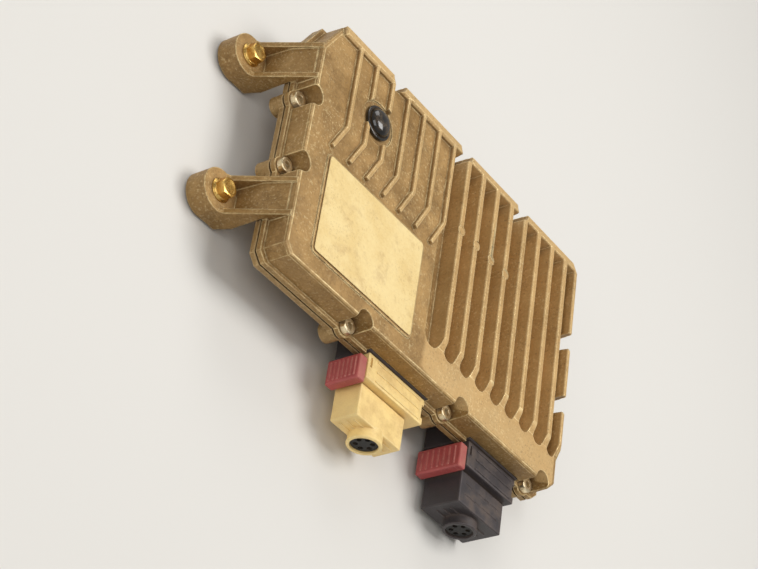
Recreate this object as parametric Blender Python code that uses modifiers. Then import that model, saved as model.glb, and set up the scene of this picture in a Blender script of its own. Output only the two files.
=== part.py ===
"""Electronic control unit: a finned casting on four legs, with two plugs.

Metres, +Z up. X runs along the long side, Y from the plug side to the far side.
The origin is on the floor, under the middle of the whole part.

Places on the unit are given in face coordinates: x from the left edge of the
finned face, y from its plug-side edge, z down from the tops of the fins.
"""
import math

import bmesh
import bpy
from mathutils import Matrix

# Driving dimensions of the whole unit
FACE_LENGTH = 0.258
FACE_WIDTH = 0.160
STAND_HEIGHT = 0.050
FIT_GAP = 0.0003
OVERRUN = 0.0020

# Cover casting, depths below the fin tops
COVER_DEPTH = 0.0200
FLANGE_THICKNESS = 0.0030
FLANGE_LIP = 0.0025
PAD_DROP = 0.0030
COVER_EDGE_RADIUS = 0.0018
WALL_DRAFT = 0.0006
CORNER_CUT_LONG = 0.0230
CORNER_CUT_SHORT = 0.0130
CORNER_CUT_SMALL = 0.0050

# Ribs and fins share one pitch across the face, as shares of its length
FIRST_RIB_SHARE = 0.1078
FIN_PITCH_SHARE = 0.0597

# Main fins, left standing between round-ended slots in a raised block
FIN_COUNT = 8
FIN_FOOT_WIDTH = 0.0058
FIN_CREST_WIDTH = 0.0042
FIN_ROOT_DROP = 0.0105
FIN_NOSE = 0.0230
FIN_NOSE_RUN = 0.0070
FIN_CREST_CHAMFER = 0.0006
SLOT_START = 0.0205
FAR_RIM_WIDTH = 0.0065
SIDE_RIM_WIDTH = 0.0045
RIM_CHAMFER = 0.0012
RIM_SET_BACK = 0.0003
FIN_PAD_COUNT = 4
FIN_PAD_DIAMETER = 0.0064
FIN_PAD_RISE = 0.0002
FIN_PAD_SHARE = 0.650

# Label field and the ribs above it
LABEL_LENGTH_SHARE = 0.333
LABEL_WIDTH = 0.0610
LABEL_THICKNESS = 0.0005
LABEL_MARGIN_X = 0.0195
LABEL_MARGIN_Y = 0.0130
LABEL_PAD_LIP = 0.0015
LABEL_PAD_RISE = 0.0008
LABEL_CORNER = 0.0020
RIB_COUNT = 7
RIB_WIDTH = 0.0030
RIB_CREST_DROP = 0.0003
RIB_GAP_TO_LABEL = 0.0055
RIB_KINK_RUN = 0.0092
RIB_KINK_RISE = 0.0190
RIB_SIDE_OVERLAP = 0.0010

# Pressure vent
VENT_DIAMETER = 0.0205
VENT_HEIGHT = 0.0058
VENT_BEAD = 0.0016
VENT_SPIGOT_DIAMETER = 0.0110
VENT_SPIGOT_DEPTH = 0.0040
VENT_SEAT_MARGIN = 0.0032
VENT_SEAT_DROP = 0.0010
VENT_X = 0.0530
VENT_FROM_FAR_EDGE = 0.0385

# Cover screws in their notches
SCREW_DIAMETER = 0.0046
SCREW_HOLE_DIAMETER = 0.0054
SCREW_HEAD_DIAMETER = 0.0090
SCREW_HEAD_HEIGHT = 0.0036
SCREW_HEAD_CHAMFER = 0.0006
SCREW_SOCKET_WIDTH = 0.0040
SCREW_SOCKET_DEPTH = 0.0020
SCREW_LENGTH = 0.0090
NOTCH_RADIUS = 0.0064
SCREW_INSET = 0.0006
LUG_RADIUS = 0.0058

# Base tray under the cover
GASKET_THICKNESS = 0.0005
GASKET_INSET = 0.0010
GASKET_BEHIND_SOCKET = 0.0040
GASKET_HOLE_MARGIN = 0.0012
BASE_FLANGE_THICKNESS = 0.0032
BASE_DEPTH = 0.0340
BASE_INSET = 0.0055
BASE_EDGE_RADIUS = 0.0030
BASE_RIB_COUNT = 5
BASE_RIB_WIDTH = 0.0030
BASE_RIB_HEIGHT = 0.0016
BASE_RIB_MARGIN = 0.0200

# Legs, bosses, sleeves and bolts
LEG_PITCH = 0.0920
LEG_REACH = 0.0200
LEG_WIDTH = 0.0245
LEG_WALL = 0.0032
LEG_CREST_DROP = 0.0036
LEG_RIB_REACH = 0.0160
LEG_RIB_STEP = 0.0012
LEG_ROOT_OVERLAP = 0.0030
LEG_CLEARANCE = 0.0010
LEG_FLOOR_DROP = 0.0065
LEG_FLOOR_BEND_X = 0.0065
LEG_FLOOR_END_X = 0.0080
LEG_HEEL_X = 0.0075
LEG_HEEL_HEIGHT = 0.0100
BOSS_DIAMETER = 0.0250
BOSS_SEAT_HEIGHT = 0.0134
BOSS_CHAMFER = 0.0010
SLEEVE_DIAMETER = 0.0120
SLEEVE_BORE = 0.0070
SLEEVE_PROUD = 0.0006
BOLT_DIAMETER = 0.0060
BOLT_FLANGE_DIAMETER = 0.0135
BOLT_FLANGE_THICKNESS = 0.0016
BOLT_FLANGE_CHAMFER = 0.0008
BOLT_HEX_ACROSS = 0.0100
BOLT_HEAD_HEIGHT = 0.0065
BOLT_END_GAP = 0.0010

# Sockets on the plug side
SOCKET_TOP_DROP = 0.0147
SOCKET_WALL = 0.0022
SOCKET_DEPTH = 0.0145
SOCKET_FLOOR = 0.0025
SOCKET_PROUD = 0.0010
SOCKET_CLEARANCE = 0.0005
SOCKET_EDGE_RADIUS = 0.0010
BLADE_WIDTH = 0.0016
BLADE_THICKNESS = 0.0008
BLADE_LENGTH = 0.0070
BLADE_ROWS = 2
BLADE_ROW_PITCH = 0.0060

# Plugs
PLUG_INSET = 0.0010
PLUG_FRONT_DEPTH = 0.0160
PLUG_INSERT_DEPTH = 0.0090
PLUG_INSERT_WALL = 0.0020
PLUG_POCKET_FLOOR = 0.0012
PLUG_EDGE_RADIUS = 0.0009
PLUG_STEP = 0.0045
HOOD_DEPTH = 0.0200
HOOD_INSET = 0.0026
LATCH_SLOT_INSET = 0.0020
LATCH_SLOT_WIDTH = 0.0016
LATCH_SLOT_LENGTH = 0.0060
LATCH_SLOT_DEPTH = 0.0012
OUTLET_DIAMETER = 0.0190
OUTLET_LENGTH = 0.0060
OUTLET_WALL = 0.0016
GROMMET_SET_BACK = 0.0012
WIRE_HOLE_DIAMETER = 0.0030
WIRE_RING_RADIUS = 0.0047
WIRE_HOLE_COUNT = 6
WIRE_HOLE_DEPTH = 0.0020

# Slide locks
SLIDE_THICKNESS = 0.0065
SLIDE_EDGE_INSET = 0.0002
SLIDE_DEPTH = 0.0153
SLIDE_CLEARANCE = 0.0004
TONGUE_LENGTH = 0.0240
TONGUE_THICKNESS = 0.0022
TONGUE_INSET = 0.0040
TONGUE_SET_BACK = 0.0020
TONGUE_WIDTH = 0.0080
TONGUE_CLEARANCE = 0.0004
GRIP_COUNT = 7
GRIP_WIDTH = 0.0010
GRIP_HEIGHT = 0.0007

# Round pieces
ROUND_STEPS = 32
BOLT_STEPS = 24
LUG_STEPS = 20
SMALL_ROUND_STEPS = 16
WIRE_HOLE_STEPS = 10
ARC_STEPS = 6
HEX_SIDES = 6
BEVEL_STEPS = 2
BEVEL_ANGLE = math.radians(35)

# Sockets and their plugs: left end as a share of the face length, sizes in metres
SOCKET_TABLE = (
    # letter, left_share, length, height, blades_in_a_row, colour_name, hood_right_inset
    ("a", 0.3516, 0.0541, 0.0243, 10, "cream", 0.0094),
    ("b", 0.7248, 0.0500, 0.0322, 10, "black", 0.0026),
)

# Screws on the far edge and side edges, as shares of the face length or width
FAR_SCREW_SHARES = (0.244, 0.510, 0.748)
SIDE_SCREW_SHARES = (0.360, 0.640)
NEAR_FIRST_SCREW_SHARE = 0.270
NEAR_MIDDLE_SCREW_SHARE = 0.380
NEAR_LAST_SCREW_MARGIN = 0.0128

COLOURS = {
    # name: (red, green, blue, metallic, roughness)
    "cast": (0.42, 0.36, 0.26, 0.85, 0.55),
    "base": (0.34, 0.29, 0.22, 0.80, 0.60),
    "rubber": (0.03, 0.03, 0.03, 0.0, 0.80),
    "label": (0.72, 0.62, 0.40, 0.0, 0.60),
    "vent": (0.015, 0.015, 0.015, 0.0, 0.20),
    "zinc": (0.62, 0.45, 0.18, 1.0, 0.35),
    "steel": (0.50, 0.50, 0.50, 1.0, 0.35),
    "cream": (0.66, 0.56, 0.36, 0.0, 0.50),
    "black": (0.03, 0.03, 0.035, 0.0, 0.45),
    "maroon": (0.22, 0.04, 0.06, 0.0, 0.50),
}

# Overall depth in Y, from the plug outlets to the far flange
PLUG_REACH = SOCKET_PROUD + FIT_GAP + PLUG_FRONT_DEPTH + FIT_GAP + HOOD_DEPTH + OUTLET_LENGTH
FAR_REACH = FACE_WIDTH + max(FLANGE_LIP, LUG_RADIUS - SCREW_INSET)
SHIFT_X = -FACE_LENGTH / 2
SHIFT_Y = (PLUG_REACH - FAR_REACH) / 2
FLANGE_TOP = COVER_DEPTH - FLANGE_THICKNESS
GASKET_TOP = COVER_DEPTH + FIT_GAP
BASE_TOP = GASKET_TOP + GASKET_THICKNESS + FIT_GAP


# Scene, collections and materials
def clear_scene():
    """Remove every object that the file opened with."""
    for old in list(bpy.data.objects):
        bpy.data.objects.remove(old, do_unlink=True)


def make_collection(name):
    """Add a collection to the scene."""
    group = bpy.data.collections.new(name)
    bpy.context.scene.collection.children.link(group)
    return group


def make_material(name, colour_name):
    """Give a sub-part its own material from the colour table."""
    red, green, blue, metallic, roughness = COLOURS[colour_name]
    material = bpy.data.materials.new(name)
    material.use_nodes = True
    shader = material.node_tree.nodes["Principled BSDF"]
    shader.inputs["Base Color"].default_value = (red, green, blue, 1.0)
    shader.inputs["Metallic"].default_value = metallic
    shader.inputs["Roughness"].default_value = roughness
    return material


def place(x, y, z):
    """Turn face coordinates into world coordinates."""
    return (x + SHIFT_X, y + SHIFT_Y, STAND_HEIGHT - z)


def keep(obj, name, colour_name):
    """Name a finished sub-part, dress it and put it in the part's collection."""
    obj.name = name
    obj.data.name = name
    obj.data.materials.clear()
    obj.data.materials.append(make_material(name, colour_name))
    parts.objects.link(obj)
    return obj


def as_tool(obj):
    """Put an object with the cutters, out of the model."""
    tools.objects.link(obj)
    obj.hide_render = True
    obj.display_type = "WIRE"
    return obj


# Shapes
def from_bmesh(mesh_data, name):
    """Make an object of a bmesh."""
    mesh = bpy.data.meshes.new(name)
    mesh_data.to_mesh(mesh)
    mesh_data.free()
    return bpy.data.objects.new(name, mesh)


def block(name, x_range, y_range, z_range):
    """Make a box between face coordinates."""
    low = place(min(x_range), min(y_range), max(z_range))
    high = place(max(x_range), max(y_range), min(z_range))
    size = [b - a for a, b in zip(low, high)]
    centre = [(a + b) / 2 for a, b in zip(low, high)]
    shape = bmesh.new()
    bmesh.ops.create_cube(shape, size=1.0)
    bmesh.ops.scale(shape, vec=size, verts=shape.verts)
    bmesh.ops.translate(shape, vec=centre, verts=shape.verts)
    return from_bmesh(shape, name)


def rod(name, x, y, z_range, diameter, steps=SMALL_ROUND_STEPS):
    """Make a vertical cylinder between two depths."""
    low = place(x, y, max(z_range))
    high = place(x, y, min(z_range))
    height = high[2] - low[2]
    shape = bmesh.new()
    bmesh.ops.create_cone(
        shape, cap_ends=True, segments=steps,
        radius1=diameter / 2, radius2=diameter / 2, depth=height)
    bmesh.ops.translate(shape, vec=(low[0], low[1], (low[2] + high[2]) / 2), verts=shape.verts)
    return from_bmesh(shape, name)


def outline_curve(name, outline, half_thickness):
    """Make a filled flat curve with straight stretches between its points."""
    curve = bpy.data.curves.new(name, "CURVE")
    curve.dimensions = "2D"
    curve.fill_mode = "BOTH"
    curve.extrude = half_thickness
    spline = curve.splines.new("POLY")
    spline.points.add(len(outline) - 1)
    for point, (across, along) in zip(spline.points, outline):
        point.co = (across, along, 0.0, 1.0)
    spline.use_cyclic_u = True
    return bpy.data.objects.new(name, curve)


def curve_to_mesh(curve_object):
    """Make a closed mesh object of a filled curve, and remove the curve."""
    bpy.context.scene.collection.objects.link(curve_object)
    bpy.context.view_layer.update()
    graph = bpy.context.evaluated_depsgraph_get()
    mesh = bpy.data.meshes.new_from_object(curve_object.evaluated_get(graph))
    shape = bmesh.new()
    shape.from_mesh(mesh)
    bmesh.ops.remove_doubles(shape, verts=shape.verts, dist=FIT_GAP / 10)
    bmesh.ops.transform(shape, matrix=curve_object.matrix_world, verts=shape.verts)
    bmesh.ops.recalc_face_normals(shape, faces=shape.faces)
    shape.to_mesh(mesh)
    shape.free()
    name = curve_object.name
    bpy.data.objects.remove(curve_object, do_unlink=True)
    return bpy.data.objects.new(name, mesh)


def plate(name, outline, z_range):
    """Extrude a plan outline, in face coordinates, between two depths."""
    half = abs(z_range[1] - z_range[0]) / 2
    flat = outline_curve(name, outline, half)
    flat.location = place(0.0, 0.0, (z_range[0] + z_range[1]) / 2)
    return curve_to_mesh(flat)


def loft(name, rings):
    """Join outlines with equal point counts, top first, into a closed block."""
    shape = bmesh.new()
    loops = [[shape.verts.new(place(x, y, depth)) for x, y in outline] for outline, depth in rings]
    for upper, lower in zip(loops, loops[1:]):
        for i in range(len(upper)):
            j = (i + 1) % len(upper)
            shape.faces.new((upper[i], lower[i], lower[j], upper[j]))
    shape.faces.new(loops[0])
    shape.faces.new(loops[-1][::-1])
    bmesh.ops.recalc_face_normals(shape, faces=shape.faces)
    return from_bmesh(shape, name)


def side_profile(name, outline, y_range):
    """Extrude an x, z outline, in face coordinates, along Y."""
    half = abs(y_range[1] - y_range[0]) / 2
    flat = outline_curve(name, [(x, -z) for x, z in outline], half)
    flat.matrix_world = Matrix.Translation(
        place(0.0, (y_range[0] + y_range[1]) / 2, 0.0)) @ Matrix.Rotation(math.pi / 2, 4, "X")
    return curve_to_mesh(flat)


def turned(name, profile, x, y, z, steps=ROUND_STEPS):
    """Turn a profile, given as radius and height above z, about a vertical axis."""
    mesh = bpy.data.meshes.new(name)
    points = [(radius, 0.0, height) for radius, height in profile]
    mesh.from_pydata(points, [(i, i + 1) for i in range(len(points) - 1)], [])
    obj = bpy.data.objects.new(name, mesh)
    obj.location = place(x, y, z)
    screw = obj.modifiers.new("turn", "SCREW")
    screw.steps = steps
    screw.render_steps = steps
    screw.use_merge_vertices = True
    screw.merge_threshold = FIT_GAP / 10
    return obj


def turned_ring(name, profile, x, y, z, steps=ROUND_STEPS):
    """Turn a closed profile that stays off the axis."""
    return turned(name, profile + [profile[0]], x, y, z, steps)


def fuse(target, tool):
    """Join a tool to a sub-part."""
    add_boolean(target, tool, "UNION")


def cut(target, tool):
    """Cut a tool out of a sub-part."""
    add_boolean(target, tool, "DIFFERENCE")


def add_boolean(target, tool, operation):
    """Add an exact Boolean and put its tool away."""
    if tool.name not in tools.objects:
        as_tool(tool)
    step = target.modifiers.new(tool.name, "BOOLEAN")
    step.operation = operation
    step.solver = "EXACT"
    step.object = tool


def round_edges(obj, radius):
    """Round the sharp edges."""
    bevel = obj.modifiers.new("edges", "BEVEL")
    bevel.width = radius
    bevel.segments = BEVEL_STEPS
    bevel.limit_method = "ANGLE"
    bevel.angle_limit = BEVEL_ANGLE
    bevel.use_clamp_overlap = True
    return obj


def joined(name, pieces):
    """Put separate closed shapes in one mesh, as one tool."""
    shape = bmesh.new()
    for piece in pieces:
        shape.from_mesh(piece.data)
        bpy.data.objects.remove(piece, do_unlink=True)
    return from_bmesh(shape, name)


def mirrored(obj, across_x, across_y):
    """Repeat a shape across the middle planes of the face."""
    middle = bpy.data.objects.new(obj.name + "_middle", None)
    middle.location = place(FACE_LENGTH / 2, FACE_WIDTH / 2, 0.0)
    tools.objects.link(middle)
    mirror = obj.modifiers.new("sides", "MIRROR")
    mirror.mirror_object = middle
    mirror.use_axis = (across_x, across_y, False)
    mirror.use_mirror_merge = False
    return obj


# Outlines
def face_outline(grow):
    """Outline of the face, grown outwards, with its cut corners."""
    low = -grow
    right = FACE_LENGTH + grow
    far = FACE_WIDTH + grow
    small = CORNER_CUT_SMALL
    return [
        (low + small, low), (right - small, low), (right, low + small),
        (right, far - small), (right - small, far),
        (low + CORNER_CUT_SHORT, far), (low, far - CORNER_CUT_LONG), (low, low + small),
    ]


def rounded_rectangle(x_range, y_range, radius):
    """Outline of a rectangle with round corners."""
    points = []
    corners = (
        # x, y, start_quarter
        (x_range[1] - radius, y_range[1] - radius, 0),
        (x_range[0] + radius, y_range[1] - radius, 1),
        (x_range[0] + radius, y_range[0] + radius, 2),
        (x_range[1] - radius, y_range[0] + radius, 3),
    )
    for centre_x, centre_y, quarter in corners:
        for step in range(ARC_STEPS + 1):
            angle = (quarter + step / ARC_STEPS) * math.pi / 2
            points.append((centre_x + radius * math.cos(angle), centre_y + radius * math.sin(angle)))
    return points


def thick_line(start, bend, end, width):
    """Outline of a bent bar of even width, from start through bend to end."""
    left = []
    right = []
    first = direction(start, bend)
    second = direction(bend, end)
    middle = direction((0.0, 0.0), (first[0] + second[0], first[1] + second[1]))
    spread = width / 2 / (middle[0] * first[0] + middle[1] * first[1])
    for point, way, reach in ((start, first, width / 2), (bend, middle, spread), (end, second, width / 2)):
        left.append((point[0] - way[1] * reach, point[1] + way[0] * reach))
        right.append((point[0] + way[1] * reach, point[1] - way[0] * reach))
    return left + right[::-1]


def direction(start, end):
    """Unit vector between two plan points."""
    run = end[0] - start[0]
    rise = end[1] - start[1]
    length = math.hypot(run, rise)
    return (run / length, rise / length)


# Places that several sub-parts share
def leg_places():
    """Middle of each boss: name, x, y."""
    near = (FACE_WIDTH - LEG_PITCH) / 2
    far = (FACE_WIDTH + LEG_PITCH) / 2
    return (
        ("left_near", -LEG_REACH, near), ("left_far", -LEG_REACH, far),
        ("right_near", FACE_LENGTH + LEG_REACH, near), ("right_far", FACE_LENGTH + LEG_REACH, far),
    )


def socket_range(letter):
    """Left and right end of a socket."""
    for name, left_share, length, *_ in SOCKET_TABLE:
        if name == letter:
            return (left_share * FACE_LENGTH, left_share * FACE_LENGTH + length)
    raise ValueError(letter)


def screw_places():
    """Middle of each cover screw: name, x, y."""
    places = []
    for number, share in enumerate(FAR_SCREW_SHARES, 1):
        places.append((f"far_{number}", share * FACE_LENGTH, FACE_WIDTH - SCREW_INSET))
    for number, share in enumerate(SIDE_SCREW_SHARES, 1):
        places.append((f"left_{number}", SCREW_INSET, share * FACE_WIDTH))
        places.append((f"right_{number}", FACE_LENGTH - SCREW_INSET, share * FACE_WIDTH))
    first_end = socket_range("a")[1]
    middle = first_end + NEAR_MIDDLE_SCREW_SHARE * (socket_range("b")[0] - first_end)
    near = (NEAR_FIRST_SCREW_SHARE * FACE_LENGTH, middle, FACE_LENGTH - NEAR_LAST_SCREW_MARGIN)
    for number, x in enumerate(near, 1):
        places.append((f"near_{number}", x, SCREW_INSET))
    return places


# Cover casting
def rib_x(number):
    """Middle of one rib or fin, counted from the left."""
    return (FIRST_RIB_SHARE + number * FIN_PITCH_SHARE) * FACE_LENGTH


def label_range():
    """Left and right end of the label."""
    return (LABEL_MARGIN_X, LABEL_MARGIN_X + LABEL_LENGTH_SHARE * FACE_LENGTH)


def slot_ranges():
    """Left and right end of each slot between the fins, at its floor."""
    ranges = []
    left = rib_x(RIB_COUNT - 1) + RIB_SIDE_OVERLAP - RIB_WIDTH / 2
    for number in range(RIB_COUNT, RIB_COUNT + FIN_COUNT):
        ranges.append((left, rib_x(number) - FIN_FOOT_WIDTH / 2))
        left = rib_x(number) + FIN_FOOT_WIDTH / 2
    ranges.append((left, FACE_LENGTH - SIDE_RIM_WIDTH))
    return ranges


def slot_outline(left, right, grow):
    """Outline of a slot with a round near end, all its sides moved out."""
    half = (right - left) / 2
    middle = left + half
    radius = half + grow
    near = SLOT_START + half
    far = FACE_WIDTH - FAR_RIM_WIDTH + grow
    points = [(middle + radius, far), (middle - radius, far)]
    for step in range(2 * ARC_STEPS + 1):
        angle = math.pi + step / (2 * ARC_STEPS) * math.pi
        points.append((middle + radius * math.cos(angle), near + radius * math.sin(angle)))
    return points


def slot_tools():
    """Tapered cutters that leave the fins between them."""
    spread = (FIN_FOOT_WIDTH - FIN_CREST_WIDTH) / 2
    sections = (
        # grow, depth
        (spread + FIN_CREST_CHAMFER, -OVERRUN),
        (spread + FIN_CREST_CHAMFER, 0.0),
        (spread, FIN_CREST_CHAMFER),
        (0.0, FIN_ROOT_DROP),
    )
    return joined("fin_slots", [
        loft("slot", [(slot_outline(left, right, grow), depth) for grow, depth in sections])
        for left, right in slot_ranges()])


def raised_block():
    """Raised part of the face: the fins' block, the side rim and the bar along the far edge."""
    first_slot = slot_ranges()[0]
    left = (first_slot[0] + first_slot[1]) / 2
    slope = FIN_NOSE_RUN / PAD_DROP
    rings = []
    low = PAD_DROP + COVER_EDGE_RADIUS + OVERRUN
    for inset, depth in ((RIM_CHAMFER, 0.0), (0.0, RIM_CHAMFER), (0.0, low)):
        right = FACE_LENGTH - RIM_SET_BACK - inset
        far = FACE_WIDTH - RIM_SET_BACK - inset
        near = FIN_NOSE + (PAD_DROP - depth) * slope
        inner = FACE_WIDTH - FAR_RIM_WIDTH + inset
        bar_left = CORNER_CUT_SHORT + inset
        rings.append(([
            (left, near), (right, near), (right, far - CORNER_CUT_SMALL), (right - CORNER_CUT_SMALL, far),
            (bar_left, far), (bar_left, inner), (left, inner)], depth))
    return loft("raised_block", rings)


def fin_pads():
    """Small round pads in one line across the first fins."""
    return joined("fin_pads", [
        rod("pad", rib_x(RIB_COUNT + number), FIN_PAD_SHARE * FACE_WIDTH,
            (-FIN_PAD_RISE, FIN_ROOT_DROP + OVERRUN), FIN_PAD_DIAMETER)
        for number in range(FIN_PAD_COUNT)])


def label_ribs():
    """Low ribs beyond the label, each bent where it ends beside the label."""
    start_y = LABEL_MARGIN_Y + LABEL_WIDTH + RIB_GAP_TO_LABEL
    end_y = FACE_WIDTH - FAR_RIM_WIDTH / 2
    sections = (
        # width, depth
        (RIB_WIDTH - 2 * FIN_CREST_CHAMFER, RIB_CREST_DROP),
        (RIB_WIDTH - FIN_CREST_CHAMFER / 2, RIB_CREST_DROP + FIN_CREST_CHAMFER),
        (RIB_WIDTH, FIN_ROOT_DROP + OVERRUN),
    )
    ribs = []
    for number in range(RIB_COUNT):
        x = rib_x(number)
        start = (x - RIB_KINK_RUN, start_y)
        bend = (x, start_y + RIB_KINK_RISE)
        end = (x, end_y)
        ribs.append(loft("rib", [(thick_line(start, bend, end, width), depth) for width, depth in sections]))
    return joined("label_ribs", ribs)


def leg():
    """One leg: two side ribs and a web that run down and out to a round boss."""
    name, boss_x, boss_y = leg_places()[0]
    half = LEG_WIDTH / 2
    foot = STAND_HEIGHT - SLEEVE_PROUD
    seat = foot - BOSS_SEAT_HEIGHT
    back = -FLANGE_LIP - LEG_CLEARANCE
    root_low = COVER_DEPTH - FIT_GAP
    flank = [
        (LEG_ROOT_OVERLAP, LEG_CREST_DROP), (0.0, LEG_CREST_DROP),
        (-LEG_RIB_REACH, seat - LEG_RIB_STEP), (boss_x, seat + BOSS_CHAMFER),
        (boss_x, foot - BOSS_CHAMFER), (-LEG_HEEL_X, foot - BOSS_CHAMFER),
        (back, foot - LEG_HEEL_HEIGHT), (back, root_low), (LEG_ROOT_OVERLAP, root_low),
    ]
    shape = side_profile("leg", flank, (boss_y - half, boss_y + half))
    root = LEG_ROOT_OVERLAP + OVERRUN
    floor_low = seat + BOSS_CHAMFER
    hollow = [
        (root, -OVERRUN), (root, LEG_FLOOR_DROP), (-WALL_DRAFT, LEG_FLOOR_DROP),
        (-LEG_FLOOR_BEND_X, COVER_DEPTH), (-LEG_FLOOR_END_X, floor_low),
        (boss_x - OVERRUN, floor_low), (boss_x - OVERRUN, -OVERRUN),
    ]
    inner = half - LEG_WALL
    cut(shape, side_profile("leg_channel", hollow, (boss_y - inner, boss_y + inner)))
    outer = BOSS_DIAMETER / 2
    bore = SLEEVE_DIAMETER / 2 + FIT_GAP
    cut(shape, rod(
        "leg_core", boss_x, boss_y, (seat + BOSS_CHAMFER / 2, STAND_HEIGHT + OVERRUN),
        outer + bore, ROUND_STEPS))
    fuse(shape, turned_ring("leg_boss", [
        (outer, BOSS_SEAT_HEIGHT), (outer, BOSS_CHAMFER), (outer - BOSS_CHAMFER, 0.0),
        (bore, 0.0), (bore, BOSS_SEAT_HEIGHT)], boss_x, boss_y, foot))
    return shape


def notch_tools(name, z_range):
    """Round-bottomed notches over the cover screws, open to the outside."""
    shapes = []
    for screw_name, x, y in screw_places():
        outward_x = -1 if x < NOTCH_RADIUS else 1 if x > FACE_LENGTH - SCREW_INSET - OVERRUN else 0
        outward_y = 0 if outward_x else (-1 if y < NOTCH_RADIUS else 1)
        reach = NOTCH_RADIUS + FLANGE_LIP
        turn = math.atan2(outward_y, outward_x)
        points = []
        for step in range(2 * ARC_STEPS + 1):
            angle = turn + math.pi / 2 + step / (2 * ARC_STEPS) * math.pi
            points.append((x + NOTCH_RADIUS * math.cos(angle), y + NOTCH_RADIUS * math.sin(angle)))
        for side in (-1, 1):
            points.append((
                x + reach * math.cos(turn) - side * NOTCH_RADIUS * math.sin(turn),
                y + reach * math.sin(turn) + side * NOTCH_RADIUS * math.cos(turn)))
        shapes.append(plate("notch", points, z_range))
    return joined(name, shapes)


def screw_rods(name, diameter, z_range, steps=SMALL_ROUND_STEPS):
    """One upright cylinder at each cover screw."""
    return joined(name, [rod("hole", x, y, z_range, diameter, steps) for _, x, y in screw_places()])


def socket_windows(name, z_range):
    """Clear space for both sockets through the plug side."""
    shapes = []
    for letter, *_ in SOCKET_TABLE:
        left, right = socket_range(letter)
        shapes.append(block(
            "window", (left - FIT_GAP, right + FIT_GAP),
            (-LUG_RADIUS - OVERRUN, SOCKET_DEPTH - SOCKET_PROUD + FIT_GAP), z_range))
    return joined(name, shapes)


def finned_cover():
    """The main casting: walls, flange, fins, ribs, label pad, legs and notches."""
    wall_low = COVER_DEPTH - FLANGE_THICKNESS / 4
    cover = loft("finned_cover", (
        (face_outline(-COVER_EDGE_RADIUS), PAD_DROP),
        (face_outline(-COVER_EDGE_RADIUS / 3), PAD_DROP + COVER_EDGE_RADIUS / 3),
        (face_outline(0.0), PAD_DROP + COVER_EDGE_RADIUS),
        (face_outline(WALL_DRAFT), wall_low)))
    fuse(cover, raised_block())
    cut(cover, slot_tools())
    fuse(cover, label_ribs())
    fuse(cover, fin_pads())
    left, right = label_range()
    label_far = LABEL_MARGIN_Y + LABEL_WIDTH
    fuse(cover, plate("label_pad", rounded_rectangle(
        (left - LABEL_PAD_LIP, right + LABEL_PAD_LIP),
        (LABEL_MARGIN_Y - LABEL_PAD_LIP, label_far + LABEL_PAD_LIP), LABEL_CORNER + LABEL_PAD_LIP),
        (PAD_DROP - LABEL_PAD_RISE, PAD_DROP + OVERRUN)))
    vent_y = FACE_WIDTH - VENT_FROM_FAR_EDGE
    cut(cover, rod(
        "vent_seat", VENT_X, vent_y, (-OVERRUN, PAD_DROP + VENT_SEAT_DROP),
        VENT_DIAMETER + 2 * VENT_SEAT_MARGIN, ROUND_STEPS))
    cut(cover, rod(
        "vent_hole", VENT_X, vent_y, (-OVERRUN, PAD_DROP + VENT_SEAT_DROP + VENT_SPIGOT_DEPTH + FIT_GAP),
        VENT_SPIGOT_DIAMETER + 2 * FIT_GAP))
    cut(cover, notch_tools("cover_notches", (-OVERRUN, COVER_DEPTH + OVERRUN)))
    flange = plate("cover_flange", face_outline(FLANGE_LIP), (FLANGE_TOP, COVER_DEPTH))
    fuse(flange, screw_rods("cover_lugs", 2 * LUG_RADIUS, (FLANGE_TOP, COVER_DEPTH), LUG_STEPS))
    cut(flange, screw_rods("cover_holes", SCREW_HOLE_DIAMETER, (0.0, COVER_DEPTH + OVERRUN)))
    fuse(cover, flange)
    cut(cover, socket_windows("cover_windows", (SOCKET_TOP_DROP - FIT_GAP, COVER_DEPTH + OVERRUN)))
    fuse(cover, mirrored(leg(), True, True))
    return keep(cover, "finned_cover", "cast")


# Pieces on the cover
def label_plate():
    """Blank plate on its pad."""
    top = PAD_DROP - LABEL_PAD_RISE - FIT_GAP
    label = plate("label_plate", rounded_rectangle(
        label_range(), (LABEL_MARGIN_Y, LABEL_MARGIN_Y + LABEL_WIDTH), LABEL_CORNER),
        (top - LABEL_THICKNESS, top))
    return keep(label, "label_plate", "label")


def vent_cap():
    """Domed cap with a bead round its edge and a spigot in the cover."""
    radius = VENT_DIAMETER / 2
    spigot = VENT_SPIGOT_DIAMETER / 2
    profile = [(0.0, VENT_HEIGHT)]
    rise = VENT_HEIGHT - VENT_BEAD
    for step in range(1, ARC_STEPS + 1):
        angle = step / ARC_STEPS * math.pi / 2
        profile.append(((radius - VENT_BEAD / 2) * math.sin(angle), VENT_BEAD + rise * math.cos(angle)))
    profile += [
        (radius, VENT_BEAD), (radius, 0.0), (spigot, 0.0), (spigot, -VENT_SPIGOT_DEPTH),
        (0.0, -VENT_SPIGOT_DEPTH),
    ]
    seat = PAD_DROP + VENT_SEAT_DROP - FIT_GAP
    cap = turned("vent_cap", profile, VENT_X, FACE_WIDTH - VENT_FROM_FAR_EDGE, seat)
    return keep(cap, "vent_cap", "vent")


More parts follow.
